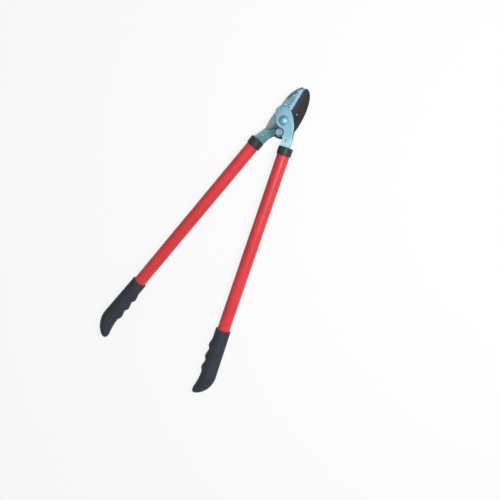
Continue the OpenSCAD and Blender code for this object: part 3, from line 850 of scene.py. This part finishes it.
@dataclass
class Finishes:
    """Every finish of the lopper by a short name, which is the record's slot where it has one."""

    effects: Effects
    made: dict[str, bpy.types.Material] = field(default_factory=dict)

    def catalogue(self) -> dict[str, Finish]:
        """Lists the finishes.

        Returns:
            Each finish by its short name.
        """
        # Painted reflections on the cheeks: darker left of the pivot, lighter towards the neck, and
        # darker in a band towards the strap.
        cheek_painted_reflections = (
            Drift(shade(98, 143, 162), (-4, 2), (-22, 6), 0.7),
            Drift(shade(184, 220, 227), (20, -18), (28, -44), 0.8),
            Drift(shade(112, 150, 156), (0, 25), (0, 31), 0.8),
        )
        # Across the jaw: bluer and darker towards the strap, painted shade on its upper-left slope, and
        # a painted sheen that lightens the tip.
        jaw_tone_and_painted_light = (
            Drift(shade(106, 140, 162), (-2, 60), (0, 48), 0.75),
            Drift(shade(110, 140, 140), (-8, 60), (-15, 58), 0.5),
            Drift(shade(168, 202, 200), (2, 64), (4, 77), 0.6),
        )
        pad_drifts = (Drift(shade(154, 190, 194), (4, 50), (5, 68), 0.75),)
        # Lever plates: lighter towards the upper left, and a painted shadow near the bumper.
        lever_tone_and_painted_shadow = (
            Drift(shade(164, 200, 202), (-22, -45), (-32, -40), 0.55),
            Drift(shade(62, 98, 105), (-20, -35), (-12, -30), 0.8),
        )
        # A painted shadow on the bare tang beside the lever plates and the bumper.
        painted_tang_shadow = (Drift(shade(58, 82, 92), (-21, -21), (-12, -24), 0.85),)
        return {
            "cheek_steel": MetalFinish(
                "zinc_plated_cheeks", shade(144, 186, 202), shade(125, 166, 183), shade(186, 208, 216),
                roughness=0.36, grain=Grain.ALONG_RIGHT_HANDLE, grain_share=0.3, mottle_size=18 * MM,
                rim_wear=0.7, drifts=cheek_painted_reflections, crevice_shade=0.25, rim_polish=-0.3,
            ),
            "jaw_steel": CastFinish(
                "cast_jaw", shade(140, 174, 174), shade(118, 150, 152), shade(186, 212, 214),
                roughness=0.42, drifts=jaw_tone_and_painted_light,
            ),
            "anvil_alloy": MetalFinish(
                "soft_anvil_alloy", shade(166, 192, 215), shade(146, 171, 196), shade(176, 198, 220),
                roughness=0.45, grain=Grain.ALONG_EDGE, grain_share=0.3, mottle_size=10 * MM,
                rim_wear=0.25, drifts=pad_drifts,
            ),
            "bright_steel": MetalFinish(
                "bright_fasteners", shade(154, 192, 203), shade(130, 167, 179), shade(200, 222, 228),
                roughness=0.36, corner_reach=0.6 * MM, crevice_shade=0.15,
            ),
            "bumper_zinc": MetalFinish(
                "zinc_plated_bumper_bolt", shade(142, 176, 188), shade(116, 150, 163),
                shade(190, 210, 218), roughness=0.32, corner_reach=0.6 * MM,
            ),
            "pivot_zinc": MetalFinish(
                "zinc_plated_pivot", shade(136, 180, 196), shade(108, 152, 170), shade(196, 220, 230),
                roughness=0.46, rim_wear=0.4, corner_reach=0.8 * MM,
            ),
            "stop_steel": MetalFinish(
                "oiled_stop_pin", shade(138, 144, 162), shade(110, 116, 130), shade(172, 178, 192),
                roughness=0.5, mottle_size=6 * MM, rim_wear=0.3, corner_reach=0.4 * MM,
            ),
            "thrust_bronze": MetalFinish(
                "bronze_thrust_washers", shade(178, 134, 82), shade(132, 94, 58), shade(214, 176, 120),
                roughness=0.3, grain=Grain.LENGTHWISE, grain_share=0.3, rim_wear=0.6,
            ),
            "blade_steel": BladeFinish(
                "slip_coated_blade", shade(26, 27, 31), shade(38, 40, 45), shade(54, 62, 78),
                shade(133, 152, 156), shade(112, 131, 138), painted_tang_shadow=painted_tang_shadow,
            ),
            "lever_steel": MetalFinish(
                "zinc_plated_levers", shade(101, 146, 148), shade(86, 127, 132), shade(170, 200, 204),
                roughness=0.36, grain=Grain.ALONG_LEFT_HANDLE, grain_share=0.35, mottle_size=14 * MM,
                rim_wear=0.6, drifts=lever_tone_and_painted_shadow,
            ),
            "bumper_rubber": MouldedFinish(
                "bumper_rubber", shade(84, 96, 104), shade(104, 118, 126), shade(140, 154, 160),
                roughness=0.55, skin_pitch=0.6 * MM,
            ),
            "collar_plastic": MouldedFinish(
                "collar_plastic", shade(28, 30, 34), shade(42, 45, 49), shade(80, 86, 91),
                roughness=0.42, skin_pitch=0.8 * MM,
            ),
            "insert_plastic": MouldedFinish(
                "insert_plastic", shade(48, 50, 54), shade(66, 68, 72), shade(110, 112, 116),
                roughness=0.5,
            ),
            "tube_paint": PaintFinish(
                "red_tube_paint", shade(222, 60, 67), shade(207, 48, 55), shade(236, 122, 124),
                roughness=0.34,
            ),
            "grip_plastic": MouldedFinish(
                "grip_plastic", shade(30, 34, 47), shade(44, 48, 61), shade(82, 88, 101),
                roughness=0.5, skin_pitch=1.1 * MM, skin_depth=0.14 * MM,
            ),
        }

    def build(self) -> None:
        """Makes the material of every finish."""
        for name, finish in self.catalogue().items():
            self.made[name] = finish.make(self.effects)

    def dress(self, piece: bpy.types.Object, name: str) -> None:
        """Gives a piece one of the finishes.

        Args:
            piece: The piece to dress.
            name: The finish's short name.
        """
        if piece.material_slots:
            for holder in piece.material_slots:
                holder.material = self.made[name]
        else:
            piece.data.materials.append(self.made[name])


@dataclass(frozen=True)
class Rounding:
    """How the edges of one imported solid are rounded, in millimetres.

    Corners nearer to each other than the weld are joined first. A width of 0 leaves edges as they are.
    """

    width: float
    weld: float = 0.02


@dataclass(frozen=True)
class PlateRim(Rounding):
    """A rounded rim round the outer face of a plate, wider on the right, that ends at a collar."""

    weld: float = 0.1
    face_height: float = 6.5
    collar: Side = Side.RIGHT
    left_share: float = 1.0


@dataclass
class EdgeSoftener:
    """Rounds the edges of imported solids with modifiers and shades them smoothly."""

    flat_angle: float = math.radians(0.5)
    edge_angle: float = math.radians(22.0)
    sharp_angle: float = math.radians(42.0)
    edge_steps: int = 3
    rim_steps: int = 3
    rim_from: float = 12 * MM
    rim_to: float = 18 * MM
    rim_lean: float = 0.4
    collar_fade: float = 3 * MM
    flat_least: float = 0.99
    merge_reach: float = 0.001 * MM
    rims: bpy.types.NodeTree = field(init=False)
    normals: bpy.types.NodeTree = field(init=False)

    def __post_init__(self) -> None:
        """Makes the node trees that round rims and set normals."""
        self.rims = self.build_rims()
        self.normals = self.build_normals()

    def start(self, name: str, **values: str) -> Started:
        """Starts a node tree that takes and gives a mesh, with other inputs by name and type."""
        inputs = {"Geometry": "Geometry", **values}
        return start_tree(name, "GeometryNodeTree", inputs, "Geometry", "Geometry")

    def rim_reach(self, sheet: NodeSheet, given: Inputs) -> Socket:
        """Works out the way out of a plate times the rim's width, for each point of its outline.

        Args:
            sheet: The nodes of the tree.
            given: The tree's inputs.

        Returns:
            The socket that holds the vector.
        """
        spot = sheet.add("GeometryNodeInputPosition").outputs[0]
        past = sheet.vector("SUBTRACT", spot, given["Stop"])
        run = sheet.vector("DOT_PRODUCT", past, given["Ahead"])
        fade = sheet.span(run, 0.0, self.collar_fade)
        parts = sheet.parts(spot)
        side = sheet.math("ADD", parts[0], sheet.times(parts[1], self.rim_lean))
        share = sheet.span(side, self.rim_from, self.rim_to, start=given["Share"])
        width = sheet.times(sheet.times(share, fade), given["Width"])
        normal = sheet.add("GeometryNodeInputNormal").outputs[0]
        way = sheet.vector("NORMALIZE", sheet.vector("MULTIPLY", normal, (1.0, 1.0, 0.0)))
        return sheet.vector("MULTIPLY", way, sheet.triple(width, width, 0.0))

    def build_rims(self) -> bpy.types.NodeTree:
        """Makes the tree that rounds the rim of a plate's outer face.

        Returns:
            The node tree.
        """
        numbers = dict.fromkeys(("Width", "Height", "Share"), "Float")
        vectors = dict.fromkeys(("Stop", "Ahead"), "Vector")
        sheet, given, result = self.start("round_plate_rim", **numbers, **vectors)
        kept = sheet.add("GeometryNodeCaptureAttribute", domain="POINT")
        kept.capture_items.new("VECTOR", "Reach")
        sheet.fill(kept, Geometry=given["Geometry"], Reach=self.rim_reach(sheet, given))
        reach = kept.outputs["Reach"]
        spot = sheet.add("GeometryNodeInputPosition").outputs[0]
        rise = sheet.math("SUBTRACT", sheet.parts(spot)[2], MIDDLE)
        normal = sheet.add("GeometryNodeInputNormal").outputs[0]
        upright = sheet.math("ABSOLUTE", sheet.parts(normal)[2])
        flat = sheet.math("GREATER_THAN", upright, self.flat_least)
        outside = sheet.math("GREATER_THAN", sheet.math("ABSOLUTE", rise), given["Height"])
        face = sheet.times(flat, outside)
        sunk = sheet.times(sheet.vector("LENGTH", reach), -1.0)
        down = sheet.times(sheet.math("SIGN", rise), sunk)
        mesh = kept.outputs["Geometry"]
        for step in range(self.rim_steps):
            turn = QUARTER * step / self.rim_steps
            grown = sheet.add("GeometryNodeExtrudeMesh", mode="FACES")
            sheet.fill(grown, Mesh=mesh, Selection=face, Offset_Scale=0.0, Individual=False)
            face = grown.outputs["Top"]
            ring = sheet.math("SUBTRACT", grown.outputs["Side"], face)
            mesh = self.shift(sheet, grown.outputs["Mesh"], ring, reach, down, turn)
        mesh = self.shift(sheet, mesh, face, reach, down, QUARTER)
        joined = sheet.add("GeometryNodeMergeByDistance")
        sheet.fill(joined, Geometry=mesh, Distance=self.merge_reach)
        sheet.feed(result, joined.outputs[0])
        return sheet.tree

    def shift(
        self, sheet: NodeSheet, mesh: Feed, ring: Feed, reach: Feed, down: Feed, turn: float
    ) -> Socket:
        """Moves one ring of the rim to its place on a quarter circle.

        Args:
            sheet: The nodes of the tree.
            mesh: The mesh so far.
            ring: Which points are moved.
            reach: The way out of the plate times the rim's width.
            down: The way into the plate, as long as the rim is wide.
            turn: Place on the quarter circle, from the plate's side to its face.

        Returns:
            The socket that holds the moved mesh.
        """
        inwards = math.cos(turn) - 1.0
        sunk = sheet.triple(0.0, 0.0, sheet.times(down, 1.0 - math.sin(turn)))
        drawn = sheet.vector("MULTIPLY", reach, (inwards, inwards, 0.0))
        setter = sheet.add("GeometryNodeSetPosition")
        sheet.fill(setter, Geometry=mesh, Selection=ring, Offset=sheet.vector("ADD", drawn, sunk))
        return setter.outputs[0]

    def build_normals(self) -> bpy.types.NodeTree:
        """Makes the tree that drops packed normals and sets sharp edges by angle.

        Returns:
            The node tree.
        """
        sheet, given, result = self.start("normals_by_angle")
        bend = sheet.add("GeometryNodeInputMeshEdgeAngle").outputs[0]
        sharp = sheet.add("FunctionNodeCompare", operation="GREATER_THAN")
        sheet.wire(sharp, bend, self.sharp_angle)
        setter = sheet.add("GeometryNodeSetMeshNormal", mode="SHARPNESS")
        sheet.fill(setter, Mesh=given["Geometry"], Remove_Custom=True)
        sheet.fill(setter, Edge_Sharpness=sharp.outputs[0], Face_Sharpness=False)
        sheet.feed(result, setter.outputs[0])
        return sheet.tree

    def round_rim(self, piece: bpy.types.Object, rim: PlateRim) -> None:
        """Adds the modifier that rounds the rim of a plate.

        Args:
            piece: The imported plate.
            rim: How it is rounded.
        """
        values = {
            "Width": rim.width * MM,
            "Height": rim.face_height * MM,
            "Share": rim.left_share,
            "Stop": rim.collar.mouth,
            "Ahead": rim.collar.ahead,
        }
        rounding = piece.modifiers.new("round_plate_rim", "NODES")
        rounding.node_group = self.rims
        for item in self.rims.interface.items_tree:
            if item.name in values:
                rounding[item.identifier] = values[item.name]

    def round_edges(self, piece: bpy.types.Object, rounding: Rounding) -> None:
        """Adds the modifier that rounds every edge of a small piece.

        Args:
            piece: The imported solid.
            rounding: How it is rounded.
        """
        bevel = piece.modifiers.new("round_edges", "BEVEL")
        bevel.width = rounding.width * MM
        bevel.segments = self.edge_steps
        bevel.limit_method = "ANGLE"
        bevel.angle_limit = self.edge_angle
        bevel.miter_outer = "MITER_ARC"

    def soften(self, piece: bpy.types.Object, rounding: Rounding) -> None:
        """Adds the modifiers that round a piece and shade it smoothly.

        Args:
            piece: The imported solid.
            rounding: How it is rounded.
        """
        joined = piece.modifiers.new("join_seams", "WELD")
        joined.merge_threshold = rounding.weld * MM
        flat = piece.modifiers.new("clear_flats", "DECIMATE")
        flat.decimate_type = "DISSOLVE"
        flat.angle_limit = self.flat_angle
        if isinstance(rounding, PlateRim):
            self.round_rim(piece, rounding)
        elif rounding.width > 0.0:
            self.round_edges(piece, rounding)
        piece.modifiers.new("normals_by_angle", "NODES").node_group = self.normals
        weighted = piece.modifiers.new("keep_flats_flat", "WEIGHTED_NORMAL")
        weighted.keep_sharp = True


@dataclass(frozen=True)
class Dressing:
    """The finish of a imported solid, and how its edges are rounded."""

    finish: str
    rounding: Rounding


@dataclass
class SubAssembly:
    """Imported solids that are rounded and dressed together."""

    title: str
    pieces: dict[str, Dressing]

    def build(self, finishes: Finishes, softener: EdgeSoftener) -> None:
        """Rounds and dresses each solid.

        Args:
            finishes: The lopper's finishes.
            softener: What rounds the edges.
        """
        for name, dressing in self.pieces.items():
            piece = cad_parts[name]
            softener.soften(piece, dressing.rounding)
            finishes.dress(piece, dressing.finish)
            LOG.info("%s: %s in %s", self.title, name, dressing.finish)


@dataclass
class AnvilHead(SubAssembly):
    """The head that stays still: cheeks, spacer, jaw, pad and their rivets."""

    title: str = "anvil head"
    cheek_rim: PlateRim = PlateRim(1.2, face_height=7.0, collar=Side.RIGHT, left_share=0.65)
    pieces: dict[str, Dressing] = field(init=False)

    def __post_init__(self) -> None:
        """Lists the solids of the head."""
        self.pieces = {
            "front_cheek": Dressing("cheek_steel", self.cheek_rim),
            "rear_cheek": Dressing("cheek_steel", self.cheek_rim),
            "cheek_spacer": Dressing("cheek_steel", Rounding(0.0)),
            "cheek_rivets": Dressing("bright_steel", Rounding(0.25)),
            "anvil_jaw": Dressing("jaw_steel", Rounding(0.4, weld=0.1)),
            "jaw_rivets": Dressing("bright_steel", Rounding(0.25)),
            "anvil_pad": Dressing("anvil_alloy", Rounding(0.4)),
            "pad_pins": Dressing("bright_steel", Rounding(0.3)),
        }


@dataclass
class PivotSet(SubAssembly):
    """The pivot: bolt, washers, nut and thrust washers."""

    title: str = "pivot"
    pieces: dict[str, Dressing] = field(default_factory=lambda: {
        "pivot_bolt": Dressing("pivot_zinc", Rounding(0.4)),
        "pivot_washers": Dressing("pivot_zinc", Rounding(0.3)),
        "pivot_nut": Dressing("pivot_zinc", Rounding(0.4)),
        "thrust_washers": Dressing("thrust_bronze", Rounding(0.06)),
    })


@dataclass
class BladeHead(SubAssembly):
    """The head that swings: blade, lever plates, bumper and stop pin."""

    title: str = "blade head"
    lever_rim: PlateRim = PlateRim(0.8, face_height=6.5, collar=Side.LEFT)
    pieces: dict[str, Dressing] = field(init=False)

    def __post_init__(self) -> None:
        """Lists the solids of the head."""
        self.pieces = {
            "blade": Dressing("blade_steel", Rounding(0.2, weld=0.1)),
            "front_lever_plate": Dressing("lever_steel", self.lever_rim),
            "rear_lever_plate": Dressing("lever_steel", self.lever_rim),
            "lever_rivets": Dressing("bright_steel", Rounding(0.25)),
            "bumper_rings": Dressing("bumper_rubber", Rounding(0.6)),
            "bumper_bolt": Dressing("bumper_zinc", Rounding(0.3)),
            "bumper_washers": Dressing("bumper_zinc", Rounding(0.25)),
            "bumper_nut": Dressing("bumper_zinc", Rounding(0.3)),
            "stop_pin": Dressing("stop_steel", Rounding(0.4)),
        }


@dataclass
class GripShape:
    """Sizes of a grip in metres, and the run of its sides from mouth to tip."""

    body: float = 112 * MM
    end: float = 47 * MM
    width: float = 34 * MM
    thickness: float = 33 * MM
    swell: float = 2 * MM
    bump_height: float = 3.5 * MM
    bump_start: float = 42 * MM
    bump_step: float = 27 * MM
    bump_rise: float = 0.65
    bump_fall: float = 0.35
    bumps: int = 3
    hook: float = 27 * MM
    hook_bend: float = 1.6
    toe: float = 14 * MM
    toe_share: float = 0.68
    heel_bow: float = 1.8
    tip_turn: float = math.radians(88)
    bore: float = 28.2 * MM
    bore_depth: float = 100.1 * MM
    lip: float = 1.0 * MM
    seam: float = 0.15 * MM
    seam_end: float = 3 * MM
    lip_steps: int = 4
    sides: int = 72
    body_steps: int = 112
    end_steps: int = 30

    def bump(self, run: float) -> float:
        """Gives the height of the finger bumps at a distance from the mouth.

        Args:
            run: Distance from the mouth.

        Returns:
            A share of the bumps' full height.
        """
        best = 0.0
        for index in range(self.bumps):
            past = run - self.bump_start - index * self.bump_step
            away = abs(past) / (self.bump_step * (self.bump_rise if past < 0 else self.bump_fall))
            if away < 1:
                best = max(best, (1 + math.cos(math.pi * away)) / 2)
        return best

    def inner(self, run: float) -> float:
        """Gives the reach of the inner side, where the fingers lie.

        Args:
            run: Distance from the mouth.

        Returns:
            The reach from the grip's axis.
        """
        half = self.width / 2
        if run < self.body:
            return half + self.bump_height * self.bump(run)
        side = half + (self.hook - half) * ((run - self.body) / self.end) ** self.hook_bend
        past = max(0.0, run - self.body - self.end + self.toe) / self.toe
        middle = self.hook * self.toe_share
        return middle + (side - middle) * math.sqrt(max(0.0, 1 - past * past))

    def outer(self, run: float) -> float:
        """Reach of the outer side, where the palm lies, at a distance from the mouth."""
        return self.width / 2 + self.swell * run / self.body

    def stations(self) -> list[tuple[float, float, float, float]]:
        """Lists the cross sections of the skin from mouth to tip.

        Returns:
            For each section its distance, inner reach, outer reach and half thickness.
        """
        half = self.thickness / 2
        found = []
        for step in range(1, self.body_steps):
            run = self.lip + (self.body - self.lip) * step / self.body_steps
            found.append((run, self.inner(run), self.outer(run), half))
        middle = self.hook * self.toe_share
        bow = 2 / self.heel_bow
        for step in range(self.end_steps + 1):
            turn = self.tip_turn * step / self.end_steps
            run = self.body + self.end * math.sin(turn) ** bow
            outer = -middle + (self.outer(self.body) + middle) * math.cos(turn) ** bow
            found.append((run, self.inner(run), outer, half * math.sqrt(math.cos(turn))))
        return found

    def section(
        self, run: float, inner: float, outer: float, half: float, seam: float = 0.0
    ) -> list[Vector]:
        """Lists the points of one cross section.

        Args:
            run: Distance from the mouth.
            inner: Reach of the inner side.
            outer: Reach of the outer side.
            half: Half thickness.
            seam: Height of the mould seam along both sides.

        Returns:
            The points, starting at the outer side.
        """
        centre = (outer - inner) / 2
        reach = (outer + inner) / 2
        points = []
        for index in range(self.sides):
            turn = 2 * math.pi * index / self.sides
            wide = reach + (seam if index in (0, self.sides // 2) else 0.0)
            points.append(Vector((centre + wide * math.cos(turn), -run, half * math.sin(turn))))
        return points

    def bore_rings(self) -> list[list[Vector]]:
        """Lists the rings of the bore.

        Returns:
            The rings from the bore's bottom to the chamfer at its mouth.
        """
        bore = self.bore / 2
        chamfer = self.lip / 2
        runs = (self.bore_depth, self.bore_depth / 2, chamfer, 0.0)
        reaches = (bore, bore, bore, bore + chamfer)
        return [self.section(run, reach, reach, reach) for run, reach in zip(runs, reaches)]

    def lip_rings(self) -> list[list[Vector]]:
        """Lists the rings of the rounded lip at the mouth.

        Returns:
            The rings from the face of the mouth to the side.
        """
        rings = []
        for step in range(self.lip_steps + 1):
            turn = QUARTER * step / self.lip_steps
            run = self.lip * (1 - math.sin(turn))
            drawn = self.lip * (1 - math.cos(turn))
            rings.append(self.section(
                run, self.inner(run) - drawn, self.outer(run) - drawn, self.thickness / 2 - drawn
            ))
        return rings[::-1]

    def rings(self) -> list[list[Vector]]:
        """Lists all rings of the closed skin.

        Returns:
            The rings from the bottom of the bore to the tip.
        """
        skin = []
        for run, inner, outer, half in self.stations():
            seam = self.seam if half > self.seam_end else 0.0
            skin.append(self.section(run, inner, outer, half, seam))
        return self.bore_rings() + self.lip_rings() + skin


@dataclass
class Handle:
    """One handle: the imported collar, insert, pin and tube, and a new grip."""

    side: Side
    collar: float = 18 * MM
    tube: float = 403 * MM
    shape: GripShape = field(default_factory=GripShape)

    def stand(self) -> Matrix:
        """Gives the frame of the grip's mouth.

        Returns:
            A matrix whose -Y axis runs down the handle and whose +X side is the palm's.
        """
        way = self.side.sign
        place = Matrix.Translation(self.side.mouth - self.side.ahead * (self.collar + self.tube))
        turn = Matrix.Rotation(way * ARM_LEAN, 4, "Z")
        return place @ turn @ Matrix.Diagonal((way, 1.0, 1.0, 1.0))

    def packed(self) -> SubAssembly:
        """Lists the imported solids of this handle.

        Returns:
            The solids with their finishes and roundings.
        """
        tag = self.side.value
        return SubAssembly(f"{tag} handle", {
            f"{tag}_collar": Dressing("collar_plastic", Rounding(0.4)),
            f"{tag}_insert": Dressing("insert_plastic", Rounding(0.0)),
            f"{tag}_tang_pin": Dressing("bright_steel", Rounding(0.3)),
            f"{tag}_tube": Dressing("tube_paint", Rounding(0.2)),
        })

    def build_grip(self) -> bpy.types.Object:
        """Models the grip as one closed skin.

        Returns:
            The grip, in its place.
        """
        stand = self.stand()
        made = bmesh.new()
        rings = [[made.verts.new(stand @ point) for point in ring] for ring in self.shape.rings()]
        count = self.shape.sides
        for first, second in zip(rings, rings[1:]):
            for index in range(count):
                after = (index + 1) % count
                made.faces.new((first[index], first[after], second[after], second[index]))
        for ring in (rings[0], rings[-1]):
            centre = made.verts.new(sum((corner.co for corner in ring), Vector()) / count)
            for index in range(count):
                made.faces.new((ring[index], ring[(index + 1) % count], centre))
        bmesh.ops.recalc_face_normals(made, faces=made.faces)
        grip = add_mesh(f"{self.side.value}_grip_skin", made)
        grip.data.shade_smooth()
        return grip

    def build(self, finishes: Finishes, softener: EdgeSoftener) -> None:
        """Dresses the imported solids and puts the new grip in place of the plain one.

        Args:
            finishes: The lopper's finishes.
            softener: What rounds the edges.
        """
        self.packed().build(finishes, softener)
        grip = self.build_grip()
        finishes.dress(grip, "grip_plastic")
        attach(grip, self.side.body)
        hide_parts(f"{self.side.value}_grip")
        LOG.info("%s handle: %s on %s", self.side.value, grip.name, self.side.body)


@dataclass
class Studio:
    """A white floor, a soft lamp beside the camera, a grey cloth, and the camera that looks down."""

    floor_half: float = 4.0
    floor_cells: int = 8
    floor_gap: float = 0.2 * MM
    floor_colour: Colour = shade(244, 244, 244)
    floor_white: float = 0.86
    world_level: float = 0.28
    lamp_power: float = 18.0
    lamp_size: float = 0.6
    lamp_distance: float = 1.5
    lamp_aside: float = 0.5
    cloth_radius: float = 2.4
    cloth_low: float = 0.0
    cloth_high: float = 1.5
    cloth_turn: float = math.radians(40.0)
    cloth_span: float = math.radians(150.0)
    cloth_steps: int = 24
    cloth_colour: Colour = shade(104, 118, 124)
    camera_place: Vector = field(default_factory=lambda: Vector((0.3986, 0.0286, 1.4676)))
    camera_right: Vector = field(default_factory=lambda: Vector((0.8242, 0.4888, -0.2860)))
    camera_up: Vector = field(default_factory=lambda: Vector((-0.5247, 0.8491, -0.0608)))
    camera_back: Vector = field(default_factory=lambda: Vector((0.2131, 0.2001, 0.9563)))
    lens: float = 50.4
    sensor: float = 36.0
    target: Vector = field(default_factory=lambda: Vector((0.0, -0.25, 0.0)))

    def seen(self, sheet: NodeSheet) -> Socket:
        """Tells rays that show the background from those that light the object.

        Args:
            sheet: The nodes of the floor or the world.

        Returns:
            A socket that is 1 for camera, glossy and transmission rays.
        """
        path = sheet.add("ShaderNodeLightPath").outputs
        mirrored = sheet.math("MAXIMUM", path["Is Glossy Ray"], path["Is Transmission Ray"])
        return sheet.math("MAXIMUM", path["Is Camera Ray"], mirrored)

    def build_world(self) -> None:
        """Makes a white world that lights the object at a plain level."""
        world = bpy.data.worlds.new("white_room")
        sheet = cleared(world)
        level = sheet.span(self.seen(sheet), low=0.0, high=1.0, start=self.world_level)
        background = sheet.fill(sheet.add("ShaderNodeBackground"), Color=WHITE, Strength=level)
        sheet.fill(sheet.add("ShaderNodeOutputWorld"), Surface=background.outputs[0])
        bpy.context.scene.world = world

    def build_floor(self) -> None:
        """Makes the floor, which keeps a soft shadow under the object."""
        made = bmesh.new()
        cells = self.floor_cells
        bmesh.ops.create_grid(made, x_segments=cells, y_segments=cells, size=self.floor_half)
        floor = add_mesh("floor", made)
        floor.location.z = -self.floor_gap
        material = bpy.data.materials.new("white_floor")
        sheet = cleared(material)
        matt = sheet.fill(sheet.add("ShaderNodeBsdfDiffuse"), Color=self.floor_colour)
        white = sheet.fill(sheet.add("ShaderNodeEmission"), Color=WHITE)
        share = sheet.times(self.seen(sheet), self.floor_white)
        both = sheet.wire(sheet.add("ShaderNodeMixShader"), share, matt.outputs[0], white.outputs[0])
        sheet.fill(sheet.add("ShaderNodeOutputMaterial"), Surface=both.outputs[0])
        floor.data.materials.append(material)

    def hang_cloth(self) -> None:
        """Hangs a grey cloth beyond the jaws, which only shows in metal."""
        made = bmesh.new()
        count = self.cloth_steps
        middle = math.atan2(self.camera_up.y, self.camera_up.x) + self.cloth_turn
        low, high = [], []
        for index in range(count + 1):
            turn = middle + self.cloth_span * (index / count - 0.5)
            spot = self.target + self.cloth_radius * Vector((math.cos(turn), math.sin(turn), 0.0))
            low.append(made.verts.new((spot.x, spot.y, self.cloth_low)))
            high.append(made.verts.new((spot.x, spot.y, self.cloth_high)))
        for index in range(count):
            made.faces.new((low[index], low[index + 1], high[index + 1], high[index]))
        ring = add_mesh("grey_ring", made)
        material = bpy.data.materials.new("grey_cloth")
        sheet = cleared(material)
        grey = sheet.fill(sheet.add("ShaderNodeEmission"), Color=self.cloth_colour)
        sheet.fill(sheet.add("ShaderNodeOutputMaterial"), Surface=grey.outputs[0])
        ring.data.materials.append(material)
        ring.visible_camera = False
        ring.visible_diffuse = False
        ring.visible_shadow = False
        ring.visible_transmission = False

    def hang_lamp(self) -> None:
        """Hangs a square lamp to the right of the camera, facing the lopper."""
        light = bpy.data.lights.new("studio_lamp", "AREA")
        light.energy = self.lamp_power
        light.size = self.lamp_size
        reach = self.camera_back * self.lamp_distance + self.camera_right * self.lamp_aside
        lamp = bpy.data.objects.new("studio_lamp", light)
        lamp.location = self.target + reach
        lamp.rotation_mode = "QUATERNION"
        lamp.rotation_quaternion = reach.to_track_quat("Z", "Y")
        bpy.context.scene.collection.objects.link(lamp)

    def build_camera(self) -> None:
        """Makes the camera at the picture's viewing angle."""
        data = bpy.data.cameras.new("camera")
        data.lens = self.lens
        data.sensor_width = self.sensor
        camera = bpy.data.objects.new("camera", data)
        turn = Matrix((self.camera_right, self.camera_up, self.camera_back)).transposed()
        camera.matrix_world = Matrix.Translation(self.camera_place) @ turn.to_4x4()
        bpy.context.scene.collection.objects.link(camera)
        bpy.context.scene.camera = camera

    def build(self) -> None:
        """Builds the room, its lamp and the camera."""
        bpy.context.scene.view_settings.view_transform = "Standard"
        self.build_world()
        self.build_floor()
        self.hang_cloth()
        self.hang_lamp()
        self.build_camera()
        LOG.info("studio: floor, cloth, lamp and camera")


def main() -> None:
    """Builds the studio and every sub-assembly in order."""
    logging.basicConfig(level=logging.INFO, format="%(message)s")
    Studio().build()
    effects = Effects()
    effects.build()
    finishes = Finishes(effects)
    finishes.build()
    softener = EdgeSoftener()
    AnvilHead().build(finishes, softener)
    PivotSet().build(finishes, softener)
    BladeHead().build(finishes, softener)
    Handle(Side.RIGHT).build(finishes, softener)
    Handle(Side.LEFT).build(finishes, softener)


if __name__ == "__main__":
    main()
